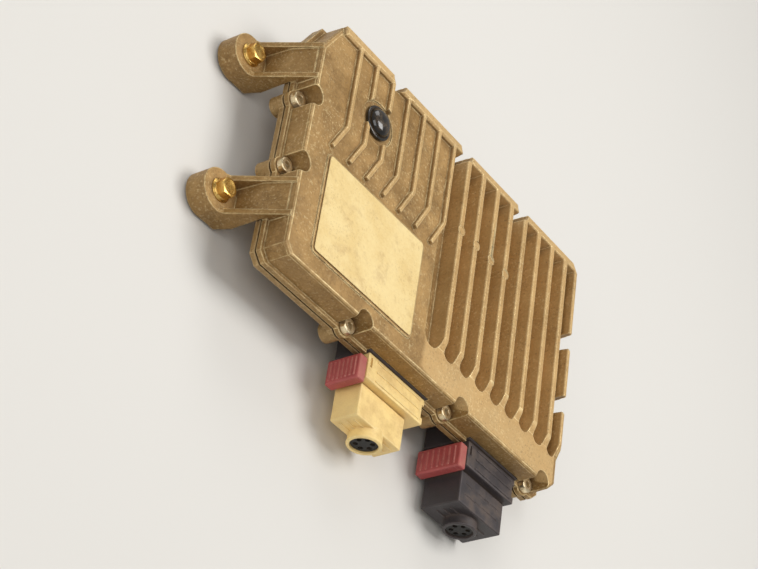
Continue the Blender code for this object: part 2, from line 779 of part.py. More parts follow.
def cover_screws():
    """One socket-head screw in each notch."""
    for name, x, y in screw_places():
        head_low = FLANGE_TOP - FIT_GAP
        head = SCREW_HEAD_DIAMETER / 2
        shank = SCREW_DIAMETER / 2
        profile = [
            (0.0, SCREW_HEAD_HEIGHT), (head - SCREW_HEAD_CHAMFER, SCREW_HEAD_HEIGHT),
            (head, SCREW_HEAD_HEIGHT - SCREW_HEAD_CHAMFER), (head, 0.0),
            (shank, 0.0), (shank, -SCREW_LENGTH), (0.0, -SCREW_LENGTH),
        ]
        screw = turned("screw", profile, x, y, head_low, SMALL_ROUND_STEPS)
        cut(screw, rod(
            "socket_" + name, x, y, (head_low - SCREW_HEAD_HEIGHT - OVERRUN,
                                     head_low - SCREW_HEAD_HEIGHT + SCREW_SOCKET_DEPTH),
            SCREW_SOCKET_WIDTH, HEX_SIDES))
        keep(screw, "cover_screw_" + name, "steel")


# Base and gasket
def base_tray():
    """Tray that closes the unit from below, flange up."""
    low_edge = BASE_INSET + WALL_DRAFT
    base = loft("base_tray", (
        (face_outline(-BASE_INSET), BASE_TOP + BASE_FLANGE_THICKNESS / 2),
        (face_outline(-low_edge), BASE_DEPTH - BASE_EDGE_RADIUS),
        (face_outline(-low_edge - BASE_EDGE_RADIUS / 3), BASE_DEPTH - BASE_EDGE_RADIUS / 3),
        (face_outline(-low_edge - BASE_EDGE_RADIUS), BASE_DEPTH)))
    flange_low = BASE_TOP + BASE_FLANGE_THICKNESS
    fuse(base, plate("base_flange", face_outline(FLANGE_LIP), (BASE_TOP, flange_low)))
    fuse(base, screw_rods("base_lugs", 2 * LUG_RADIUS, (BASE_TOP, BASE_TOP + SCREW_LENGTH), LUG_STEPS))
    first = BASE_RIB_MARGIN
    pitch = (FACE_LENGTH - 2 * BASE_RIB_MARGIN) / (BASE_RIB_COUNT - 1)
    grooves = []
    for number in range(BASE_RIB_COUNT):
        x = first + number * pitch
        grooves.append(block(
            "groove", (x - BASE_RIB_WIDTH / 2, x + BASE_RIB_WIDTH / 2),
            (BASE_RIB_MARGIN, FACE_WIDTH - BASE_RIB_MARGIN),
            (BASE_DEPTH - BASE_RIB_HEIGHT, BASE_DEPTH + OVERRUN)))
    cut(base, joined("base_grooves", grooves))
    cut(base, screw_rods("base_holes", SCREW_HOLE_DIAMETER, (0.0, FLANGE_TOP + SCREW_LENGTH + FIT_GAP)))
    cut(base, socket_windows("base_windows", (SOCKET_TOP_DROP - FIT_GAP, BASE_DEPTH + OVERRUN)))
    return keep(base, "base_tray", "base")


def cover_gasket():
    """Thin ring between the two flanges."""
    z_range = (GASKET_TOP, GASKET_TOP + GASKET_THICKNESS)
    gasket = plate("cover_gasket", face_outline(FLANGE_LIP - GASKET_INSET), z_range)
    cut(gasket, plate(
        "gasket_middle", face_outline(-SOCKET_DEPTH - GASKET_BEHIND_SOCKET),
        (z_range[0] - OVERRUN, z_range[1] + OVERRUN)))
    cut(gasket, screw_rods(
        "gasket_holes", SCREW_HOLE_DIAMETER + 2 * GASKET_HOLE_MARGIN,
        (z_range[0] - OVERRUN, z_range[1] + OVERRUN)))
    cut(gasket, socket_windows("gasket_windows", (z_range[0] - OVERRUN, z_range[1] + OVERRUN)))
    return keep(gasket, "cover_gasket", "rubber")


# Feet
def foot_sleeves_and_bolts():
    """Steel sleeve and flange bolt in each boss."""
    for name, x, y in leg_places():
        top = STAND_HEIGHT - SLEEVE_PROUD - BOSS_SEAT_HEIGHT
        outer = SLEEVE_DIAMETER / 2
        inner = SLEEVE_BORE / 2
        height = STAND_HEIGHT - top
        ring = [(outer, height), (outer, 0.0), (inner, 0.0), (inner, height)]
        sleeve = turned_ring("sleeve", ring, x, y, STAND_HEIGHT, BOLT_STEPS)
        keep(sleeve, "foot_sleeve_" + name, "steel")
        shank = BOLT_DIAMETER / 2
        flange = BOLT_FLANGE_DIAMETER / 2
        length = height - BOLT_END_GAP
        flange_top = BOLT_FLANGE_THICKNESS + FIT_GAP
        profile = [
            (0.0, flange_top), (flange - BOLT_FLANGE_CHAMFER, flange_top),
            (flange, flange_top - BOLT_FLANGE_THICKNESS / 2), (flange, FIT_GAP), (shank, FIT_GAP),
            (shank, -length), (0.0, -length),
        ]
        bolt = turned("bolt", profile, x, y, top, BOLT_STEPS)
        fuse(bolt, rod(
            "hex_" + name, x, y, (top - BOLT_HEAD_HEIGHT, top - BOLT_FLANGE_THICKNESS / 2),
            BOLT_HEX_ACROSS / math.cos(math.pi / HEX_SIDES), HEX_SIDES))
        keep(bolt, "foot_bolt_" + name, "zinc")


# Sockets and plugs
def socket(letter, height, blades):
    """Open shroud with a floor and two rows of blades."""
    left, right = socket_range(letter)
    low = SOCKET_TOP_DROP + height
    inner_end = SOCKET_DEPTH - SOCKET_PROUD
    shell = round_edges(block(
        "socket_" + letter, (left, right), (-SOCKET_PROUD, inner_end), (SOCKET_TOP_DROP, low)),
        SOCKET_EDGE_RADIUS)
    floor_y = inner_end - SOCKET_FLOOR
    cut(shell, block(
        "cavity_" + letter, (left + SOCKET_WALL, right - SOCKET_WALL), (-SOCKET_PROUD - OVERRUN, floor_y),
        (SOCKET_TOP_DROP + SOCKET_WALL, low - SOCKET_WALL)))
    middle = SOCKET_TOP_DROP + height / 2
    pitch = (right - left - 4 * SOCKET_WALL) / blades
    shapes = []
    for row in range(BLADE_ROWS):
        row_z = middle + (row - (BLADE_ROWS - 1) / 2) * BLADE_ROW_PITCH
        for number in range(blades):
            x = left + 2 * SOCKET_WALL + (number + 0.5) * pitch
            shapes.append(block(
                "blade", (x - BLADE_WIDTH / 2, x + BLADE_WIDTH / 2),
                (floor_y - BLADE_LENGTH, floor_y + SOCKET_FLOOR / 2),
                (row_z - BLADE_THICKNESS / 2, row_z + BLADE_THICKNESS / 2)))
    fuse(shell, joined("blades_" + letter, shapes))
    return keep(shell, "socket_" + letter, "black")


def plug_ranges(letter, height):
    """Outer x range and z range of a plug."""
    left, right = socket_range(letter)
    return (
        (left + PLUG_INSET, right - PLUG_INSET),
        (SOCKET_TOP_DROP + PLUG_INSET, SOCKET_TOP_DROP + height - PLUG_INSET))


def plug_front():
    """Where the plug's body starts in front of its socket."""
    return -SOCKET_PROUD - FIT_GAP


def tongue_ranges(z_range):
    """Depth range of the upper and the lower tongue."""
    upper = z_range[0] + TONGUE_INSET
    lower = z_range[1] - TONGUE_INSET
    return ((upper, upper + TONGUE_THICKNESS), (lower - TONGUE_THICKNESS, lower))


def tongue_y_range():
    """Y range of both tongues."""
    far = slide_front() - TONGUE_SET_BACK
    return (far - TONGUE_WIDTH, far)


def plug_body(letter, height, colour_name):
    """Front half of a plug: the block, the insert in the socket and the tongue slots."""
    x_range, z_range = plug_ranges(letter, height)
    front = plug_front()
    body = round_edges(block(
        "plug_body", x_range, (front - PLUG_FRONT_DEPTH, front), z_range), PLUG_EDGE_RADIUS)
    wall = SOCKET_WALL + SOCKET_CLEARANCE - PLUG_INSET
    insert_x = (x_range[0] + wall, x_range[1] - wall)
    insert_z = (z_range[0] + wall, z_range[1] - wall)
    fuse(body, block("insert_" + letter, insert_x, (front - OVERRUN, front + PLUG_INSERT_DEPTH), insert_z))
    cut(body, block(
        "pocket_" + letter, (insert_x[0] + PLUG_INSERT_WALL, insert_x[1] - PLUG_INSERT_WALL),
        (front + PLUG_POCKET_FLOOR, front + PLUG_INSERT_DEPTH + OVERRUN),
        (insert_z[0] + PLUG_INSERT_WALL, insert_z[1] - PLUG_INSERT_WALL)))
    y_range = tongue_y_range()
    slot_y = (y_range[0] - TONGUE_CLEARANCE, y_range[1] + TONGUE_CLEARANCE)
    for number, (top, bottom) in enumerate(tongue_ranges(z_range), 1):
        cut(body, block(
            f"slot_{letter}_{number}", (x_range[0] - OVERRUN, x_range[0] + TONGUE_LENGTH + TONGUE_CLEARANCE),
            slot_y, (top - TONGUE_CLEARANCE, bottom + TONGUE_CLEARANCE)))
    latch_x = x_range[0] + LATCH_SLOT_INSET
    latch_y = front - PLUG_FRONT_DEPTH / 3
    cut(body, block(
        "latch_slot_" + letter, (latch_x, latch_x + LATCH_SLOT_WIDTH),
        (latch_y - LATCH_SLOT_LENGTH / 2, latch_y + LATCH_SLOT_LENGTH / 2),
        (z_range[0] - OVERRUN, z_range[0] + LATCH_SLOT_DEPTH)))
    return keep(body, f"plug_{letter}_body", colour_name)


def hood_ranges(letter, height, right_inset):
    """Outer x range and z range of a plug's hood."""
    x_range, z_range = plug_ranges(letter, height)
    return ((x_range[0] + HOOD_INSET, x_range[1] - right_inset), (z_range[0] + PLUG_STEP, z_range[1]))


def plug_hood(letter, height, colour_name, right_inset):
    """Rear cover of a plug with its round outlet."""
    x_range, z_range = hood_ranges(letter, height, right_inset)
    near = plug_front() - PLUG_FRONT_DEPTH - FIT_GAP
    far = near - HOOD_DEPTH
    hood = round_edges(block("plug_hood", x_range, (far, near), z_range), PLUG_EDGE_RADIUS)
    x = sum(x_range) / 2
    z = sum(z_range) / 2
    fuse(hood, cylinder_along_y(
        "outlet_" + letter, x, z, (far - OUTLET_LENGTH, far + OVERRUN), OUTLET_DIAMETER))
    cut(hood, cylinder_along_y(
        "outlet_bore_" + letter, x, z, (far - OUTLET_LENGTH - OVERRUN, far + OVERRUN),
        OUTLET_DIAMETER - 2 * OUTLET_WALL))
    return keep(hood, f"plug_{letter}_hood", colour_name)


def cylinder_along_y(name, x, z, y_range, diameter, steps=ROUND_STEPS):
    """Make a level cylinder between two y places."""
    centre = place(x, (y_range[0] + y_range[1]) / 2, z)
    shape = bmesh.new()
    bmesh.ops.create_cone(
        shape, cap_ends=True, segments=steps, radius1=diameter / 2, radius2=diameter / 2,
        depth=abs(y_range[1] - y_range[0]))
    turn = Matrix.Rotation(math.pi / 2, 3, "X")
    bmesh.ops.rotate(shape, cent=(0.0, 0.0, 0.0), matrix=turn, verts=shape.verts)
    bmesh.ops.translate(shape, vec=centre, verts=shape.verts)
    return from_bmesh(shape, name)


def plug_grommet(letter, height, right_inset):
    """Soft seal in the outlet, with a ring of wire holes."""
    x_range, z_range = hood_ranges(letter, height, right_inset)
    x = sum(x_range) / 2
    z = sum(z_range) / 2
    far = plug_front() - PLUG_FRONT_DEPTH - FIT_GAP - HOOD_DEPTH
    outer = far - OUTLET_LENGTH + GROMMET_SET_BACK
    grommet = cylinder_along_y(
        "grommet", x, z, (outer, far + OVERRUN - FIT_GAP), OUTLET_DIAMETER - 2 * OUTLET_WALL - 2 * FIT_GAP)
    holes = []
    for number in range(WIRE_HOLE_COUNT):
        angle = number / WIRE_HOLE_COUNT * 2 * math.pi
        holes.append(cylinder_along_y(
            "wire_hole", x + WIRE_RING_RADIUS * math.cos(angle), z + WIRE_RING_RADIUS * math.sin(angle),
            (outer - OVERRUN, outer + WIRE_HOLE_DEPTH), WIRE_HOLE_DIAMETER, WIRE_HOLE_STEPS))
    cut(grommet, joined("wire_holes_" + letter, holes))
    return keep(grommet, f"plug_{letter}_grommet", "rubber")


def slide_front():
    """Where the slide starts, clear of the screw lugs that it passes."""
    return -(LUG_RADIUS - SCREW_INSET) - SLIDE_CLEARANCE


def slide_lock(letter, height):
    """End piece with grip bars and two tongues that run in the plug."""
    x_range, z_range = plug_ranges(letter, height)
    right = x_range[0] - FIT_GAP
    left = right - SLIDE_THICKNESS
    front = slide_front()
    face_z = (z_range[0] + SLIDE_EDGE_INSET, z_range[1] - SLIDE_EDGE_INSET)
    slide = round_edges(block(
        "slide", (left, right), (front - SLIDE_DEPTH, front), face_z), PLUG_EDGE_RADIUS)
    y_range = tongue_y_range()
    tongues = [
        block("tongue", (right - SLIDE_THICKNESS / 2, x_range[0] + TONGUE_LENGTH), y_range, depth_range)
        for depth_range in tongue_ranges(z_range)]
    fuse(slide, joined("tongues_" + letter, tongues))
    pitch = (face_z[1] - face_z[0]) / (GRIP_COUNT + 1)
    bars = []
    for number in range(GRIP_COUNT):
        z = face_z[0] + (number + 1) * pitch
        bars.append(block(
            "grip", (left - GRIP_HEIGHT, left + GRIP_HEIGHT),
            (front - SLIDE_DEPTH + OVERRUN, front - OVERRUN), (z - GRIP_WIDTH / 2, z + GRIP_WIDTH / 2)))
    fuse(slide, joined("grips_" + letter, bars))
    return keep(slide, f"slide_lock_{letter}", "maroon")


clear_scene()
parts = make_collection("control_unit")
tools = make_collection("cutters")
finned_cover()
label_plate()
vent_cap()
cover_screws()
base_tray()
cover_gasket()
foot_sleeves_and_bolts()
for socket_letter, _, _, socket_height, blade_count, plug_colour, hood_right_inset in SOCKET_TABLE:
    socket(socket_letter, socket_height, blade_count)
    plug_body(socket_letter, socket_height, plug_colour)
    plug_hood(socket_letter, socket_height, plug_colour, hood_right_inset)
    plug_grommet(socket_letter, socket_height, hood_right_inset)
    slide_lock(socket_letter, socket_height)
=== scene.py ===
"""Looks of a finned control unit with its two plugs, from the service bay of a combine harvester.

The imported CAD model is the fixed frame. Castings, plugs and slides are bevelled copies of their
nodes, and screws, bolts and ribs are made by Geometry Nodes on places read from the nodes.
"""

import logging
import math
from collections.abc import Callable, Sequence
from dataclasses import dataclass
from enum import Enum

import bmesh
import bpy
from mathutils import Matrix, Vector


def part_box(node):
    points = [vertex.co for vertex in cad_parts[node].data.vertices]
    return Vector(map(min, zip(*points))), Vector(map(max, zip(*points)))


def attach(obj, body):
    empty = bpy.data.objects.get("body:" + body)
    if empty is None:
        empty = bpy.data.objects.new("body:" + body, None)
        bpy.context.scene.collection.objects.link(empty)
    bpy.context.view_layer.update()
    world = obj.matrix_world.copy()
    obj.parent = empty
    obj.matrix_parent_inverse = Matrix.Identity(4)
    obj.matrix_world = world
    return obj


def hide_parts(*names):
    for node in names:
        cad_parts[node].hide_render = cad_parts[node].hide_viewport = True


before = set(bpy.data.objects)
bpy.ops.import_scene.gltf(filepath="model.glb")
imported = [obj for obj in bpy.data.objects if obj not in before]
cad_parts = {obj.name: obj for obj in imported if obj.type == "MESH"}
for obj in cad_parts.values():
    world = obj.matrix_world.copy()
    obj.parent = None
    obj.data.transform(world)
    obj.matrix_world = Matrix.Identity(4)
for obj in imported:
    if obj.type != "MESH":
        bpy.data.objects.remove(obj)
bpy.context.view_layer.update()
log = logging.getLogger("control_unit")

Colour = tuple[int, int, int]
Pair = tuple[float, float]
Triple = tuple[float, float, float]
Socket = bpy.types.NodeSocket
Tree = bpy.types.NodeTree
Piece = bpy.types.Object
Material = bpy.types.Material

MERGE_DISTANCE = 0.0002
SPECK = 0.00001
OVERRUN = 0.001
HEXAGON = 6
SHANK_CORNERS = 24
FLAT_ANGLE = math.radians(1.0)
SHARP_ANGLE = math.radians(28.0)
GROWN_ANGLE = math.radians(32.0)
ROUNDED_ANGLE = math.radians(40.0)
SOCKETS = {float: "NodeSocketFloat", int: "NodeSocketInt", tuple: "NodeSocketVector"}


class Body(Enum):
    """Moving bodies of the unit, by their names in the frame."""

    UNIT = "unit"
    PLUG_A = "plug_a"
    LOCK_A = "lock_a"
    PLUG_B = "plug_b"
    LOCK_B = "lock_b"


class Slot(Enum):
    """Material slots of the record."""

    COVER = "cast_cover"
    BASE = "cast_base"
    LABEL = "label"
    VENT = "vent"
    SEAL = "seal"
    SCREWS = "screws"
    SLEEVES = "sleeves"
    BOLTS = "bolts"
    BLACK = "black_plastic"
    CREAM = "cream_plastic"
    LOCK = "lock_plastic"


# Node trees
def linear(colour: Colour) -> tuple[float, ...]:
    """Turn a display colour of 0 to 255 into Blender's linear one, with its alpha."""
    parts = (value / 255.0 for value in colour)
    return (*(part / 12.92 if part <= 0.04045 else ((part + 0.055) / 1.055) ** 2.4 for part in parts), 1.0)


class NodeGraph:
    """Adds nodes to one tree and links them."""

    def __init__(self, tree: Tree) -> None:
        """Keep the shader or geometry node tree that is worked on."""
        self.tree = tree

    def add(self, kind: str, inputs: dict | None = None, **settings: object) -> bpy.types.Node:
        """Add one node.

        Args:
            kind: The node's type name.
            inputs: Values or sockets for its inputs, by name or number.
            settings: Values for the node's own properties.

        Returns:
            The new node.
        """
        node = self.tree.nodes.new(kind)
        for key, value in settings.items():
            setattr(node, key, value)
        for key, value in (inputs or {}).items():
            self.feed(node.inputs[key], value)
        return node

    def feed(self, socket: Socket, value: object) -> None:
        """Set an input to a plain value, or link it.

        Args:
            socket: The input.
            value: A number, colour, vector, or another node's output.
        """
        if isinstance(value, Socket):
            self.tree.links.new(value, socket)
        else:
            socket.default_value = value

    def math(self, operation: str, first: object, second: object = 0.0, clamp: bool = False) -> Socket:
        """Combine two numbers by a Math node, kept from 0 to 1 if clamped."""
        values = {0: first, 1: second}
        return self.add("ShaderNodeMath", values, operation=operation, use_clamp=clamp).outputs[0]

    def plus(self, first: object, second: object, clamp: bool = False) -> Socket:
        """Sum of two values."""
        return self.math("ADD", first, second, clamp)

    def minus(self, first: object, second: object, clamp: bool = False) -> Socket:
        """Difference of two values."""
        return self.math("SUBTRACT", first, second, clamp)

    def times(self, first: object, second: object) -> Socket:
        """Product of two values."""
        return self.math("MULTIPLY", first, second)

    def over(self, first: object, second: object) -> Socket:
        """Quotient of two values."""
        return self.math("DIVIDE", first, second)

    def larger(self, first: object, second: object) -> Socket:
        """Larger of two values."""
        return self.math("MAXIMUM", first, second)

    def vector(self, x: object = 0.0, y: object = 0.0, z: object = 0.0) -> Socket:
        """Vector of three values."""
        return self.add("ShaderNodeCombineXYZ", {0: x, 1: y, 2: z}).outputs[0]

    def parts(self, vector: Socket) -> Sequence[Socket]:
        """Sockets of a vector's x, y and z."""
        return self.add("ShaderNodeSeparateXYZ", {0: vector}).outputs

    def object_place(self) -> Socket:
        """Coordinates of the object itself, in metres."""
        return self.add("ShaderNodeTexCoord").outputs["Object"]

    def mapped(self, place: Socket, **changes: Triple) -> Socket:
        """Change coordinates by a Mapping node's Location, Rotation and Scale."""
        return self.add("ShaderNodeMapping", {"Vector": place, **changes}).outputs[0]

    def span(self, value: object, low: float, high: float, new_low: float = 0.0, new_high: float = 1.0
             ) -> Socket:
        """Map the values from low to high smoothly to those from new_low to new_high."""
        ends = {"From Min": low, "From Max": high, "To Min": new_low, "To Max": new_high}
        return self.add(
            "ShaderNodeMapRange", {"Value": value, **ends}, interpolation_type="SMOOTHSTEP").outputs[0]

    def window(self, value: Socket, rise: Pair, fall: Pair) -> Socket:
        """Mask that is 1 between a smooth rise and a smooth fall."""
        return self.times(self.span(value, *rise), self.span(value, *fall, 1.0, 0.0))

    def mix(self, share: object, first: object, second: object) -> Socket:
        """Mix two display colours or colour sockets, by the share of the second."""
        low, high = (linear(shade) if isinstance(shade, tuple) else shade for shade in (first, second))
        return self.add("ShaderNodeMix", {0: share, 6: low, 7: high}, data_type="RGBA").outputs[2]

    def layered(self, colour: object, *layers: tuple[Socket, float, Colour]) -> Socket:
        """Lay colours over a colour, one after the other.

        Args:
            colour: The lowest colour.
            layers: Mask, share that counts and display colour of each layer.

        Returns:
            The last colour's socket.
        """
        for mask, share, shade in layers:
            colour = self.mix(self.times(mask, share), colour, shade)
        return colour

    def noise(self, place: Socket, size: object, detail: float = 3.0, rough: float = 0.55) -> Socket:
        """Smooth random values from 0 to 1.

        Args:
            place: Socket of the coordinates, in metres.
            size: Size of the largest patches in metres, or its socket.
            detail: How many finer layers are added.
            rough: How strong the finer layers are.

        Returns:
            The value's socket.
        """
        scale = self.over(1.0, size) if isinstance(size, Socket) else 1.0 / size
        inputs = {"Vector": place, "Scale": scale, "Detail": detail, "Roughness": rough}
        return self.add("ShaderNodeTexNoise", inputs).outputs[0]


class Group(NodeGraph):
    """A node group with named sockets."""

    def __init__(self, name: str, kind: str = "ShaderNodeTree", **inputs: object) -> None:
        """Make the group and its inputs.

        Args:
            name: The group's name.
            kind: ShaderNodeTree or GeometryNodeTree.
            inputs: Default or socket type of each input, with _ for a space in the name.
        """
        super().__init__(bpy.data.node_groups.new(name, kind))
        for title, value in inputs.items():
            plain = value if isinstance(value, str) else SOCKETS[type(value)]
            socket = self.tree.interface.new_socket(
                title.replace("_", " "), in_out="INPUT", socket_type=plain)
            if plain != value:
                socket.default_value = value
        self.size = self.add("NodeGroupInput").outputs

    def closed(self, **results: Socket) -> Tree:
        """Make the group's outputs.

        Args:
            results: Socket of each output, by name.

        Returns:
            The finished tree.
        """
        for title, value in results.items():
            self.tree.interface.new_socket(title, in_out="OUTPUT", socket_type=value.bl_idname)
        end = self.add("NodeGroupOutput")
        for title, value in results.items():
            self.feed(end.inputs[title], value)
        return self.tree


def grain_group() -> Tree:
    """Rough skin of a casting or moulding: a height, a slow tone and small pits.

    Returns:
        The finished tree.
    """
    graph = Group("surface_grain", Size=0.001, Patch_Size=0.02)
    place, size = graph.object_place(), graph.size["Size"]
    fine = graph.noise(place, size, 4.0, 0.62)
    coarse = graph.noise(place, graph.over(size, 0.28), 2.0, 0.5)
    scale = graph.times(graph.over(1.0, size), 0.55)
    cells = graph.add("ShaderNodeTexVoronoi", {"Vector": place, "Scale": scale})
    pits = graph.span(cells.outputs["Distance"], 0.05, 0.30, 1.0, 0.0)
    pits = graph.times(pits, graph.span(coarse, 0.50, 0.62))
    height = graph.minus(graph.plus(fine, graph.times(coarse, 1.3)), graph.times(pits, 0.8))
    slow = graph.noise(place, graph.size["Patch Size"], 5.0, 0.6)
    tone = graph.plus(graph.times(slow, 0.65), graph.times(fine, 0.35))
    return graph.closed(Height=height, Tone=graph.span(tone, 0.30, 0.70), Pits=pits)


def wear_group() -> Tree:
    """Rounded normal and a broken mask along the edges.

    Returns:
        The finished tree.
    """
    graph = Group("edge_wear", Radius=0.0005, Breaks=0.006)
    rounded_normal = graph.add("ShaderNodeBevel", {"Radius": graph.size["Radius"]}, samples=6).outputs[0]
    plain = graph.add("ShaderNodeNewGeometry").outputs["True Normal"]
    facing = graph.add("ShaderNodeVectorMath", {0: rounded_normal, 1: plain}, operation="DOT_PRODUCT")
    bent = graph.span(graph.minus(1.0, facing.outputs["Value"]), 0.006, 0.075)
    noise = graph.noise(graph.object_place(), graph.size["Breaks"], 5.0, 0.65)
    broken = graph.span(noise, 0.36, 0.60, 0.25, 1.0)
    return graph.closed(Edges=graph.times(bent, broken), Normal=rounded_normal)


def dust_and_corner_shade_group() -> Tree:
    """Corner darkening from occlusion, used as dirt and painted shade, and dust that lies on top.

    Returns:
        The finished tree.
    """
    graph = Group("settled_dust", Reach=0.006, Patch_Size=0.03)
    occlusion = graph.add("ShaderNodeAmbientOcclusion", {"Distance": graph.size["Reach"]}, samples=8)
    patches = graph.noise(graph.object_place(), graph.size["Patch Size"], 6.0, 0.68)
    uneven = graph.times(graph.minus(patches, 0.5), 0.45)
    # Less occlusion light in corners gives a stronger corner mask: dirt and painted shade where shade falls.
    corners = graph.plus(graph.minus(1.0, occlusion.outputs["AO"]), uneven)
    up = graph.parts(graph.add("ShaderNodeNewGeometry").outputs["Normal"])[2]
    lying = graph.times(graph.span(up, 0.35, 0.95), graph.span(patches, 0.40, 0.66))
    return graph.closed(Corners=graph.span(corners, 0.10, 0.75), Top=lying)


def scratch_group() -> Tree:
    """Thin scratches in two directions.

    Returns:
        The finished tree.
    """
    graph = Group("fine_scratches", Length=0.02)
    place = graph.object_place()
    masks = []
    for turn, offset in ((0.45, 0.0), (-1.05, 0.7)):
        aside = graph.mapped(
            place, Rotation=(0.15, 0.1, turn), Location=(offset, offset, 0.0), Scale=(1.0, 22.0, 6.0))
        lines = graph.noise(aside, graph.size["Length"], 2.0, 0.5)
        masks.append(graph.span(graph.math("ABSOLUTE", graph.minus(lines, 0.5)), 0.0, 0.012, 1.0, 0.0))
    where = graph.span(graph.noise(place, 0.018), 0.46, 0.60)
    return graph.closed(Scratches=graph.times(graph.larger(*masks), where))


def speck_group() -> Tree:
    """Fine grit: pale and dark grains that come in clusters.

    Returns:
        The finished tree.
    """
    graph = Group("fine_specks", Size=0.0016)
    place = graph.object_place()
    masks = {}
    for name, offset, patch in (("Pale", 0.0, 0.019), ("Dark", 3.7, 0.027)):
        moved = graph.mapped(place, Location=(offset, offset, offset))
        grains = graph.noise(moved, graph.size["Size"], 3.0, 0.7)
        where = graph.span(graph.noise(moved, patch), 0.36, 0.62, 0.25, 1.0)
        masks[name] = graph.times(graph.span(grains, 0.54, 0.66), where)
    return graph.closed(**masks)


effects = {
    "grain": grain_group(), "wear": wear_group(), "dust": dust_and_corner_shade_group(), "scratches": scratch_group(),
    "specks": speck_group()}


class Surface(NodeGraph):
    """One material, with its Principled shader and the masks of the shared effects."""

    def __init__(self, name: str, **sizes: dict[str, float]) -> None:
        """Start a material with its own sizes of the shared effects.

        Args:
            name: The material's name.
            sizes: Named inputs of each effect, by the effect's name.
        """
        self.material = bpy.data.materials.new(name)
        self.material.use_nodes = True
        self.material.node_tree.nodes.clear()
        super().__init__(self.material.node_tree)
        self.shader = self.add("ShaderNodeBsdfPrincipled")
        self.add("ShaderNodeOutputMaterial", {"Surface": self.shader.outputs[0]})
        self.place = self.object_place()
        self.mask = {}
        for effect, values in sizes.items():
            node = self.add("ShaderNodeGroup", values, node_tree=effects[effect])
            self.mask |= {socket.name: socket for socket in node.outputs}

    def shade(self, **values: object) -> Material:
        """Feed the shader's inputs.

        Args:
            values: Value or socket of each, with _ for a space in the name.

        Returns:
            The material.
        """
        for key, value in values.items():
            self.feed(self.shader.inputs[key.replace("_", " ")], value)
        return self.material

    def relief(self, depth: float, strength: float, height: Socket | None = None) -> Socket:
        """Make a relief over the rounded edges.

        Args:
            depth: Real depth of a height of 1, in metres.
            strength: Share of the relief that is used.
            height: Socket of the height, or None for the plain grain.

        Returns:
            The normal's socket.
        """
        inputs = {"Height": height or self.mask["Height"], "Distance": depth, "Strength": strength}
        if "Normal" in self.mask:
            inputs["Normal"] = self.mask["Normal"]
        return self.add("ShaderNodeBump", inputs).outputs[0]


